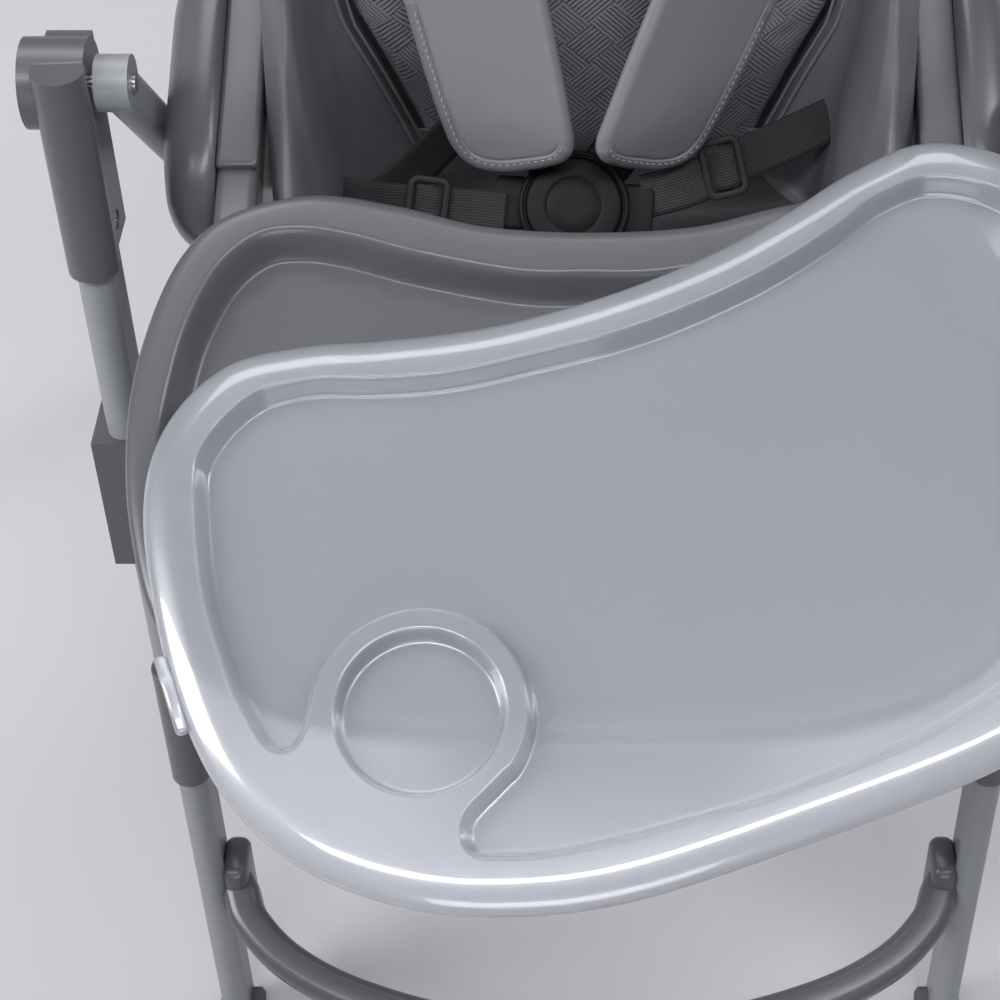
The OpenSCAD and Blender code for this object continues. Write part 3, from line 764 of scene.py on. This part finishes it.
level = add(tree, "MapRange", {"Value": (weave, "Value"), "From Min": -1.0})
fuzz = add(tree, "TexNoise", {"Vector": (place, "UV"), "Scale": 1.2, "Detail": 3.0})
painted_weave_light = add(tree, "Math", {0: (level, "Result"), 1: (fuzz, "Fac")}, operation="MULTIPLY")
# The webbing's dark grey is painted lighter on its raised yarns and near black between them:
# painted highlight and painted shade of the weave, broken up by noise.
tone = add(tree, "MixRGB", {"Fac": (painted_weave_light, "Value"), "Color1": linear("#0b0b0c"),
                            "Color2": linear("#5c5c60")})
relief = add(tree, "Bump", {"Height": (level, "Result"), "Strength": 0.8, "Distance": 0.0004})
gloss = add(tree, "MapRange", {"Value": (level, "Result"), "To Min": 0.7, "To Max": 0.42})
skin = add(tree, "BsdfPrincipled",
           {"Base Color": (tone, "Color"), "Roughness": (gloss, "Result"),
            "Normal": (relief, "Normal"), "IOR": 1.55, "Specular IOR Level": 0.22,
            "Sheen Weight": 0.1, "Sheen Roughness": 0.4, "Sheen Tint": linear("#a6a6aa")})
add(tree, "OutputMaterial", {"Surface": (skin, "BSDF")})

# Bonded thread is coated like the cover, and as satin.
thread = leatherette("bonded_polyester_thread", "#8d8c92", "#c9c9d0", crease=0.5)
buckle_plastic = moulded("moulded_black_acetal", "#151516", 0.6, shine=0.2)
glide_plastic = moulded("moulded_tri_glide_acetal", "#232325", 0.52, shine=0.25)

webbing_width = 25.0
webbing_thick = 1.5


def ribbon(name, path, faces_to, width=webbing_width, thick=webbing_thick, material=webbing):
    """A strap along a path; faces_to is the way its face looks, one for all or one a point."""
    path = np.asarray(path, float)
    look = np.broadcast_to(np.asarray(faces_to, float), path.shape)
    if len(path) < 12:
        path, look = spline(path, 8), spline(look, 8)
    step = unit(np.gradient(path, axis=0))
    across = unit(np.cross(step, look))
    up = np.cross(across, step)
    columns = 9
    share = np.linspace(-1, 1, columns)
    half = 0.5 * thick * np.sqrt(np.clip(1 - share ** 8, 0.02, 1))
    middle = path[:, None] + share[None, :, None] * across[:, None] * width / 2
    lift = up[:, None] * half[:, None]
    rings = np.concatenate([middle + lift, (middle - lift)[:, ::-1]], axis=1)
    made = loft(name, rings, material)
    along = distance_along(path)
    marks = np.concatenate([share, share[::-1]]) * width / 2
    layer = made.data.uv_layers.new(name="weave")
    size = 2 * columns
    for corner in made.data.loops:
        row, column = divmod(corner.vertex_index, size)
        layer.data[corner.index].uv = (along[row], marks[column])
    return made


def stitches(name, path, up, pitch, length, thick, material):
    """Separate thread stitches along a path, each a small rounded bead lying on the cover."""
    path, up = np.asarray(path, float), np.asarray(up, float)
    along = distance_along(path)
    vertices, faces = [], []
    for middle in np.arange(pitch / 2, along[-1], pitch):
        ends = [np.array([np.interp(middle + k * length / 2, along, path[:, a]) for a in range(3)])
                for k in (-1, 1)]
        rise = np.array([np.interp(middle, along, up[:, a]) for a in range(3)])
        rise /= np.linalg.norm(rise)
        step = ends[1] - ends[0]
        step /= np.linalg.norm(step)
        sideways = np.cross(step, rise)
        base = len(vertices)
        for t, k in ((0, 0.25), (0.2, 0.85), (0.5, 1), (0.8, 0.85), (1, 0.25)):
            centre = ends[0] + t * (ends[1] - ends[0]) + rise * thick * 0.5 * (k - 0.3)
            for angle in np.arange(0, 2 * math.pi, math.pi / 3):
                vertices.append(centre + k * thick / 2 * (math.cos(angle) * sideways
                                                         + math.sin(angle) * rise))
        for r in range(4):
            for c in range(6):
                faces.append((base + r * 6 + c, base + r * 6 + (c + 1) % 6,
                              base + (r + 1) * 6 + (c + 1) % 6, base + (r + 1) * 6 + c))
        faces += [tuple(base + c for c in range(6))[::-1], tuple(base + 24 + c for c in range(6))]
    return piece(name, vertices, faces, material)


def on_strip(ends, twist, points):
    """Points of a pad in the frame: x across it, z up it from ends[0], front at -y."""
    low, high = (Vector(e) for e in ends)
    run = high - low
    turn = (Matrix.Rotation(-math.atan2(run.y, run.z), 4, "X")
            @ Matrix.Rotation(math.asin(run.x / run.length), 4, "Y")
            @ Matrix.Rotation(math.radians(twist), 4, "Z"))
    rotation = np.array(turn.to_3x3())
    return np.asarray(points, float).reshape(-1, 3) @ rotation.T + np.array(low)


def smoothed(values, span):
    """Values round a closed loop, each averaged over span neighbours."""
    count = len(values)
    return np.convolve(np.tile(values, 3), np.ones(span) / span, "same")[count:2 * count]


pad_ends = {"left": ((-39, 65, 702), (-72, 147, 827)), "right": ((28, 66, 702), (88, 147, 827))}
pad_twist = {"left": -13, "right": 30}
pad_edge = spline([(0, -6), (20, -4.5), (29, -1), (33.4, 6), (35, 20), (37, 60), (38.6, 110),
                   (38.8, 138), (34, 147), (22, 150), (-22, 150), (-36, 147), (-41, 138),
                   (-41, 100), (-40.4, 60), (-38.5, 26), (-35, 10), (-27, 0), (-14, -5)], 9,
                  closed=True)
pad_spine = np.column_stack([np.full(len(pad_edge), -1.0), np.clip(pad_edge[:, 1], 34, 112)])
pad_thick = 4.6
pad_crown = 1.6
pad_roll = 6.5
binding = 8.5
binding_ring = 8.4
stitch_line = 6.6
stitch_pitch = 4.2
stitch_length = 2.9
stitch_thick = 0.85
webbing_back = 7.4
for side, sign in SIDES.items():
    reach = np.linalg.norm(pad_edge - pad_spine, axis=1)
    # The binding runs down the outer side and along the lower end, to the inner corner.
    bound = np.clip((-pad_edge[:, 0] + 0.55 * (40 - pad_edge[:, 1]) - 4) / 6, 0, 1)
    bound = np.where((pad_edge[:, 0] > 20) & (pad_edge[:, 1] < 3), 1, bound)
    bound = np.where(pad_edge[:, 1] > 146, 0, bound)
    bound = smoothed(bound, 5)
    insets = [0.05, 0.6, 1.4, 2.6, 4.0, 5.2, 6.0, 6.6, 7.2, 7.9, binding_ring, 8.8, 9.4, 10.4,
              12, 15, 19, 24, 29, 33, 37, 60]

    def face_height(depth):
        """The front face above the pad's middle: crowned, with a folded binding at its edge."""
        crown = (pad_thick * quarter_round(depth, pad_roll)
                 + pad_crown * np.clip(depth / 34, 0, 1) ** 0.8)
        band = np.clip((binding - depth) / 0.5, 0, 1)
        crease = np.exp(-((depth - binding - 0.5) / 0.7) ** 2)
        sunk = np.exp(-((depth - stitch_line) / 0.9) ** 2)
        return crown + bound * (0.75 * band - 0.9 * crease - 0.45 * sunk * band)

    def pad_ring(depth, height):
        """The outline drawn in by depth towards the pad's spine, at a height."""
        share = np.clip(depth / reach, 0, 0.9)[:, None]
        flat = pad_edge + share * (pad_spine - pad_edge)
        return np.column_stack([-sign * flat[:, 0], height, flat[:, 1]])

    rings = [pad_ring(d, pad_thick * quarter_round(np.full(len(pad_edge), d), pad_roll))
             for d in insets[::-1][:-1]]
    rings += [pad_ring(d, -face_height(np.full(len(pad_edge), d))) for d in insets]
    rings = [on_strip(pad_ends[side], pad_twist[side], ring) for ring in rings]
    pad = loft(f"shoulder_pad_cover_{side}", rings, pad_leather)
    pad.data.materials.append(binding_leather)
    # The two long narrow end faces are cut into triangles, so that they stay smooth.
    edit = bmesh.new()
    edit.from_mesh(pad.data)
    bmesh.ops.triangulate(edit, faces=[f for f in edit.faces if len(f.verts) > 4])
    edit.to_mesh(pad.data)
    edit.free()
    count = len(pad_edge)
    for face in pad.data.polygons:
        ids = np.array(face.vertices)
        row = ids.min() // count - (len(insets) - 1)
        if 0 <= row < insets.index(binding_ring) and bound[ids % count].mean() > 0.5:
            face.material_index = 1
    smoother = pad.modifiers.new("smoother", "SUBSURF")
    smoother.levels = smoother.render_levels = 1
    finished(pad, "backrest", "leatherette", f"shoulder_pad_{side}")
    sewn = np.flatnonzero(bound > 0.6)
    start = np.flatnonzero(np.diff(sewn) > 1)
    order = np.concatenate([sewn[start[0] + 1:], sewn[:start[0] + 1]]) if len(start) else sewn
    line = pad_ring(stitch_line, -face_height(np.full(count, stitch_line)) - 0.1)[order]
    line = on_strip(pad_ends[side], pad_twist[side], line)
    ahead, middle = on_strip(pad_ends[side], pad_twist[side], [(0, -1, 0), (0, 0, 0)])
    facing = ahead - middle
    seam = stitches(f"shoulder_pad_stitches_{side}", line, np.tile(facing, (len(line), 1)),
                    stitch_pitch, stitch_length, stitch_thick, thread)
    finished(seam, "backrest", "webbing")
    # The webbing runs behind the pad from the buckle's tongue to a slot in the backrest.
    slot = on_back([(sign * 64, -18, 316), (sign * 64, -2, 322)])
    shoulder = on_strip(pad_ends[side], pad_twist[side],
                        [(0, webbing_back, up) for up in (-10, 40, 100, 150)])
    face_at = np.array([facing] * 4 + [(0, -0.9, 0.3)] * 2)
    strap = ribbon(f"shoulder_webbing_{side}", np.vstack([shoulder, slot]), face_at)
    finished(strap, "backrest", "webbing", f"shoulder_strap_{side}")

buckle_at = (-9, 53, 672)
buckle_tilt = math.radians(27)


def on_buckle(points):
    """Points of the buckle in the frame: z out of its face, y up it."""
    return leaned(points, -buckle_tilt, buckle_at)


def turned(name, profile, material):
    """A lathe-turned form about the buckle's axis, from (radius, height) pairs."""
    angles = np.linspace(0, 2 * math.pi, 96, endpoint=False)
    rings = [on_buckle([(r * math.cos(a), r * math.sin(a), z) for a in angles])
             for r, z in profile]
    return loft(name, rings, material)


tongue_level = -2.5
tongue_thick = 7
disc = turned("disc", [(4, -9), (27, -9), (30, -8), (31.3, -5), (31.5, 2), (31.2, 5.4),
                       (30.3, 6.6), (29.5, 6.9), (28.9, 6.6), (28.6, 5.6), (28.2, 5.5),
                       (27.8, 6.2), (27.5, 6.0), (27.3, 2), (27.3, -0.5), (4, -0.6)],
              buckle_plastic)
tongues = [disc]
for turn, long, wide in ((-4, 45, 30), (176, 45, 30), (118, 43, 28), (52, 43, 28), (-90, 44, 30)):
    angle = math.radians(turn)
    stations = [(22, 0.9), (31, 1), (long - 3, 1), (long - 1, 0.96), (long, 0.85)]
    ring = rounded(wide, tongue_thick, 2.6, 5)
    rings = []
    for out, k in stations:
        rings.append(on_buckle([(out * math.cos(angle) - k * t * math.sin(angle),
                                 out * math.sin(angle) + k * t * math.cos(angle),
                                 tongue_level + k * h)
                                for t, h in ring]))
    tongues.append(loft("tongue", rings, buckle_plastic))
finished(join("buckle_housing", tongues), "seat", "buckle_plastic", "buckle_body")
button = turned("buckle_press_button",
                [(4, 3.4), (25, 3.4), (26.7, 4), (26.9, 7.2), (26.4, 8.4), (25, 9.0), (18, 9.4),
                 (16.1, 9.45), (15.8, 9.1), (15.4, 8.9), (15.0, 9.1), (14.7, 9.4), (8, 9.6),
                 (1, 9.7)], buckle_plastic)
finished(button, "buckle_button", "buckle_plastic", "buckle_button")

front_up = (0, -0.57, 0.82)
waist = {"right": [(30, 58, 674.2), (50, 63, 675.4), (66, 70, 676.0), (78, 77, 675.6),
                   (94, 86, 674.4), (112, 96, 673), (128, 105, 672), (150, 118, 669),
                   (168, 128, 665)],
         "left": [(-48, 48, 671.6), (-64, 50, 671.4), (-84, 52, 670.6), (-100, 55, 668),
                  (-126, 60, 664), (-148, 68, 658)]}
for side in SIDES:
    strap = ribbon(f"waist_webbing_{side}", waist[side],
                   front_up if side == "right" else (0.1, -0.57, 0.82))
    finished(strap, "seat", "webbing", f"waist_strap_{side}")
tail = ribbon("waist_webbing_tail", [(-122, 78, 640), (-106, 84, 652), (-88, 92, 670),
                                     (-72, 98, 690), (-62, 104, 706)], (0.35, -0.75, 0.55))
finished(tail, "seat", "webbing")
crotch = ribbon("crotch_webbing", [(0, -25, 549), (0, -25, 560), (0, -24, 576), (-2, -14, 598),
                                   (-5, 8, 622), (-8, 24, 646), (-9, 33, 660)],
                np.array([(0, -1, 0.05)] * 3 + [(0, -0.9, 0.5)] * 4), width=26)
finished(crotch, "seat", "webbing", "crotch_strap")


def outward(curve):
    """Unit normals of a closed curve, pointing out of it."""
    step = np.roll(curve, -1, 0) - np.roll(curve, 1, 0)
    normal = unit(np.column_stack([step[:, 1], -step[:, 0]]))
    x, y = curve.T
    area = (x * np.roll(y, -1) - np.roll(x, -1) * y).sum()
    return normal if area > 0 else -normal


# A tri-glide is a rounded frame with a bar across its middle, which the webbing passes over.
glide_tilt = math.radians(35)
glide_rise = 3.0
glides = []
for middle, turn in (((75.5, 75.4, 677.4), math.radians(14)),
                     ((-92, 54, 670.8), math.radians(-8))):
    def on_glide(points, middle=middle, turn=turn):
        x, y, z = np.asarray(points, float).reshape(-1, 3).T
        x, y = x * math.cos(turn) - y * math.sin(turn), x * math.sin(turn) + y * math.cos(turn)
        return leaned(np.column_stack([x, y, z]), -glide_tilt, middle)

    rim = rounded(20.5, 30.5, 4, 7)
    section = rounded(4.2, 3.4, 1.2, 4)
    rings = [on_glide([(p[0] + a * n[0], p[1] + a * n[1], glide_rise + b) for a, b in section])
             for p, n in zip(rim, outward(rim))]
    rings.append(rings[0])
    glides.append(loft("rim", rings, glide_plastic, ends=False))
    bar = sweep([(1.5, y, 2.0) for y in np.linspace(-14, 14, 7)], rounded(4, 3, 1.2, 4))
    glides.append(loft("bar", [on_glide(ring) for ring in bar], glide_plastic))
    loop = ribbon("glide_webbing_" + ("right" if middle[0] > 0 else "left"),
                  on_glide([(-9.5, 0, -0.2), (-7, 0, 1.6), (-3, 0, 4.0), (1, 0, 4.9), (5, 0, 3.8),
                            (8.5, 0, 0.9), (10.5, 0, -0.6)]),
                  on_glide([(0, 0, 1)])[0] - on_glide([(0, 0, 0)])[0], width=24.6, thick=1.3)
    finished(loop, "seat", "webbing")
finished(join("strap_tri_glides", glides), "seat", "buckle_plastic", "strap_adjusters")

# ---------- Grey tray ----------
# One polypropylene moulding with a kidney outline, a rolled-over edge and a shallow basin. It
# is satin, so its rounded wall shows two blurred pale lines.


def mirrored(half):
    """The control points of a whole outline, symmetric about x = 0, from its right half."""
    half = [tuple(p) for p in half]
    return half + [(-x, y) for x, y in half[-2:0:-1]]


def even(curve, spacing):
    """A closed curve with its points spread evenly, spacing apart."""
    loop = np.vstack([curve, curve[:1]])
    along = distance_along(loop)
    marks = np.linspace(0, along[-1], max(8, round(along[-1] / spacing)), endpoint=False)
    return np.column_stack([np.interp(marks, along, loop[:, k]) for k in range(2)])


def inside(points, curve):
    """How far each point is inside a closed curve; negative outside it."""
    a, b = curve, np.roll(curve, -1, 0)
    ab = b - a
    found = []
    for chunk in np.array_split(points, max(1, len(points) // 1500)):
        ap = chunk[:, None] - a
        t = np.clip((ap * ab).sum(-1) / (ab * ab).sum(-1), 0, 1)
        gap = np.linalg.norm(ap - t[..., None] * ab, axis=-1).min(1)
        x, y = chunk[:, 0:1], chunk[:, 1:2]
        straddles = (a[:, 1] > y) != (b[:, 1] > y)
        rise = np.where(ab[:, 1] == 0, 1e-9, ab[:, 1])
        crossed = straddles & (x < a[:, 0] + (y - a[:, 1]) * ab[:, 0] / rise)
        found.append(np.where(crossed.sum(1) % 2 == 1, gap, -gap))
    return np.concatenate(found)


def basin_wall(points, brink, foot):
    """The share of the way down a basin's wall: 0 outside its brink, 1 inside its foot."""
    past_brink = np.clip(inside(points, brink), 0, None)
    short_of_foot = np.clip(-inside(points, foot), 0, None)
    share = past_brink / np.clip(past_brink + short_of_foot, 1e-9, None)
    return 0.5 - 0.5 * np.cos(math.pi * share)


def sheet_moulding(outline, lip, loops, height, mesh_size):
    """The upper face of a thin moulding.

    lip lists (inset, z) from the hem to the flat rim; loops are closed curves for the
    triangles to follow; height gives z at any point further in.
    """
    normal = outward(outline)
    rings = [np.column_stack([outline - inset * normal, np.full(len(outline), z)])
             for inset, z in lip]
    count = len(outline)
    border = rings[-1][:, :2]
    low, high = border.min(0), border.max(0)
    rows = np.arange(low[1], high[1], mesh_size * 0.866)
    grid = np.array([(x + (i % 2) * mesh_size / 2, y) for i, y in enumerate(rows)
                     for x in np.arange(low[0], high[0], mesh_size)])
    grid = grid[inside(grid, border) > mesh_size * 0.7]
    features = np.vstack(loops)
    gap = np.concatenate([np.linalg.norm(chunk[:, None] - features, axis=-1).min(1)
                          for chunk in np.array_split(grid, max(1, len(grid) // 400))])
    grid = grid[gap > mesh_size * 0.6]
    points = np.vstack([border, features, grid])
    flat, _, triangles, sources, _, _ = delaunay_2d_cdt(
        [Vector(p) for p in points], [], [list(range(count))], 1, 0.01)
    flat = np.array([tuple(v) for v in flat])
    shared = {source: i for i, ids in enumerate(sources) for source in ids if source < count}
    z = height(flat)
    base = (len(rings) - 1) * count
    vertices = np.vstack(rings[:-1] + [np.column_stack([flat, z])])
    faces = [[base + i for i in f] for f in triangles]
    for r in range(len(rings) - 1):
        for i in range(count):
            j = (i + 1) % count
            upper = [shared[j] + base, shared[i] + base] if r == len(rings) - 2 else \
                [(r + 1) * count + j, (r + 1) * count + i]
            faces.append([r * count + i, r * count + j] + upper)
    return vertices, faces


def shell(made, wall):
    """Turns a sheet into a wall of that many millimetres, below its upper face."""
    edit = bmesh.new()
    edit.from_mesh(made.data)
    bmesh.ops.recalc_face_normals(edit, faces=edit.faces)
    if sum(f.normal.z * f.calc_area() for f in edit.faces) < 0:
        bmesh.ops.reverse_faces(edit, faces=edit.faces)
    edit.to_mesh(made.data)
    edit.free()
    thick = made.modifiers.new("wall", "SOLIDIFY")
    thick.thickness = wall * MM
    thick.offset = -1.0
    bpy.context.view_layer.objects.active = made
    settle(made, "wall")
    made.data.shade_smooth()


def wall_lines(brink, foot, shares, beyond):
    """Loops down a wall from its brink to its foot, and a few just outside the brink."""
    normal = outward(brink)
    width = np.abs(inside(brink, foot))
    made = [brink - (width * s)[:, None] * normal for s in shares]
    return made + [brink + b * normal for b in beyond]


bay_y = -7
tray_top = 755
tray_half = [(0, 0), (55, -3.5), (100, -15.5), (146, -22.2), (190, -10), (214, 16), (229, 62),
             (234, 110), (228, 167), (209, 222), (168, 256), (100, 274), (0, 278)]
tray_brink_half = [(0, 25), (36, 24.3), (88, 13.7), (125, 3), (151, -1), (174, 3), (194, 22),
                   (208, 54), (215, 88), (217.5, 121), (212, 165), (194, 209), (157, 240),
                   (95, 257), (0, 261)]
tray_depth = 18
tray_wall_width = 13


def tray_curve(half, spacing):
    """A whole outline of the tray in the frame, from its right half in the tray's own."""
    curve = even(spline(mirrored(half), 12, closed=True), spacing)
    return np.column_stack([curve[:, 0], bay_y - curve[:, 1]])


outline = tray_curve(tray_half, 3.5)
brink = tray_curve(tray_brink_half, 3.0)
foot = brink - tray_wall_width * outward(brink)
tray_lip = [(2.2, -22), (1.6, -21.6), (1.2, -16), (0.4, -9), (0.5, -6.5), (1.2, -4.2), (2.4, -2.4),
            (4.2, -1.1), (6.5, -0.3), (9.5, 0)]
wall_loops = wall_lines(brink, foot, np.arange(0, 1.01, 0.09), (1.5, 4.0))


def tray_height(points):
    """The tray's upper face, from its flat rim down into its basin."""
    return -tray_depth * basin_wall(points, brink, foot)


vertices, faces = sheet_moulding(outline, tray_lip, wall_loops, tray_height, 9)
vertices[:, 2] += tray_top
tray = piece("tray_moulding", vertices, faces, grey_plastic)
shell(tray, 3.0)
finished(tray, "tray", "grey_plastic", "tray_base")

# ---------- Tray insert ----------
# A lift-off dish in unfilled polypropylene, 1.8 mm thick and milky: what lies below shows
# through it blurred, while its polished upper face gives sharp narrow highlights. A collar
# round the cup recess stands into its basin, and the dish rests askew on the tray.

milky, tree = blank("unfilled_polypropylene")
place = add(tree, "TexCoord")
flow = add(tree, "TexNoise", {"Vector": (place, "Object"), "Scale": 5.0, "Detail": 2.0})
veil = add(tree, "MixRGB", {"Fac": (flow, "Fac"), "Color1": linear("#dde0e9"),
                            "Color2": linear("#e3e6ee")})
skin = add(tree, "BsdfPrincipled", {"Base Color": (veil, "Color"), "Roughness": 0.3, "IOR": 1.49,
                                    "Transmission Weight": 0.82, "Coat Weight": 1.0,
                                    "Coat Roughness": 0.03, "Coat IOR": 1.49})
add(tree, "OutputMaterial", {"Surface": (skin, "BSDF")})

insert_place = (4, -52)
insert_yaw = math.radians(20)
insert_top = 775
insert_depth = 12
insert_half = [(0, 2.7), (60, -1), (110, -11.5), (150, -22), (191, -24.6), (228, -2.5),
               (250, 37.5), (260, 105), (259, 158), (250, 195), (230, 230), (194, 262),
               (149, 284), (90, 297.5), (0, 300)]
cup = np.array([-154.5, 181.5])
cup_brink = 41
cup_foot = 36.5
cup_depth = 9
collar_foot = 54.5


def on_circle(radius, degrees):
    """Points about the cup's middle."""
    angles = np.radians(degrees)
    return cup + radius * np.column_stack([np.cos(angles), np.sin(angles)])


# The basin's foot, from the middle of its rear edge round its right side; the collar is an
# arc about the cup, between two tongues with narrow tips.
basin_foot = np.vstack([
    [(6, 34), (44, 32), (86, 26), (127, 15), (148, 7), (170, 3.4), (183, 5), (197, 12),
     (208.5, 21.5), (214.5, 31.5), (219.5, 50), (224.5, 73), (227.6, 98), (227.3, 137),
     (223, 165), (211, 195), (190, 220), (160, 240), (115, 256), (69, 266), (37.5, 269),
     (-13, 270), (-61, 267), (-92.5, 264), (-123.5, 259), (-140, 253.6), (-147.2, 251.2),
     (-149.6, 248.6), (-149.8, 243.5), (-147.8, 238.4), (-143, 235), (-135, 231), (-126, 226.4)],
    on_circle(collar_foot, np.arange(50, -160, -15)),
    [(-209.8, 166.5), (-214, 171), (-218, 173), (-221, 171.5), (-223, 164), (-225.6, 151),
     (-227.4, 137), (-227.6, 98), (-224.3, 73), (-219.4, 50), (-214.5, 31.4), (-208.4, 21.4),
     (-197, 12), (-182.6, 5), (-170, 3.4), (-148, 7), (-127, 15), (-86, 26), (-34, 31.5)]])
foot = even(spline(basin_foot, 10, closed=True), 1.9)
from_cup = np.linalg.norm(foot - cup, axis=1)
wall_width = 7.5 - 0.8 * np.clip((60 - foot[:, 1]) / 60, 0, 1)
near_collar = np.clip(1 - (from_cup - collar_foot - 1) / 14, 0, 1)
near_collar *= np.clip((cup[0] + 62 - foot[:, 0]) / 8, 0, 1)
wall_width = wall_width + (4.9 - wall_width) * near_collar
wall_width = smoothed(wall_width, 9)
brink = foot + wall_width[:, None] * outward(foot)
outline = even(spline(mirrored(insert_half), 12, closed=True), 2.6)
insert_lip = [(0.9, -13.4), (0.2, -13.2), (0, -12), (0, -10), (0.6, -8), (2, -6), (4.5, -3.7),
              (8, -1.8), (12, -0.5), (16, 0)]
wall_loops = [foot + (wall_width * s)[:, None] * outward(foot)
              for s in (0, 0.06, 0.14, 0.25, 0.38, 0.5, 0.62, 0.75, 0.86, 0.94, 1)]
wall_loops += [foot - 1.2 * outward(foot), brink + 1.2 * outward(foot)]
cup_loops = [on_circle(r, np.arange(0, 360, 4))
             for r in (cup_foot - 2, cup_foot - 1, *np.linspace(cup_foot, cup_brink, 8),
                       cup_brink + 1, cup_brink + 2.5)]


def insert_height(points):
    """The dish's upper face, with its basin and the shallow cup recess."""
    basin = -insert_depth * basin_wall(points, brink, foot)
    from_middle = np.linalg.norm(points - cup, axis=1)
    share = np.clip((cup_brink - from_middle) / (cup_brink - cup_foot), 0, 1)
    return basin - cup_depth * (0.5 - 0.5 * np.cos(math.pi * share))


vertices, faces = sheet_moulding(outline, insert_lip, wall_loops + cup_loops, insert_height, 7)


def on_insert(points):
    """Points of the insert's own frame, whose second axis runs to the front, in the frame."""
    c, s = math.cos(insert_yaw), math.sin(insert_yaw)
    x, y, z = points[:, 0], -points[:, 1], points[:, 2]
    return np.column_stack([insert_place[0] + c * x - s * y, insert_place[1] + s * x + c * y,
                            insert_top + z])


insert = piece("tray_insert_dish", on_insert(vertices), faces, milky)
shell(insert, 1.8)
lugs = [insert]
for sign in SIDES.values():
    rings = []
    for v, k in ((112, 0.5), (112.6, 0.8), (114, 1), (150, 1), (151.4, 0.8), (152, 0.5)):
        ring = rounded(6 * k, 7.5 * k, 2 * k, 4)
        rings.append(on_insert(np.array([(sign * 262.2 + a, v, -8.4 + b) for a, b in ring])))
    lugs.append(loft("lug", rings, milky))
finished(join("tray_insert_dish", lugs), "insert", "milky_plastic", "tray_insert")
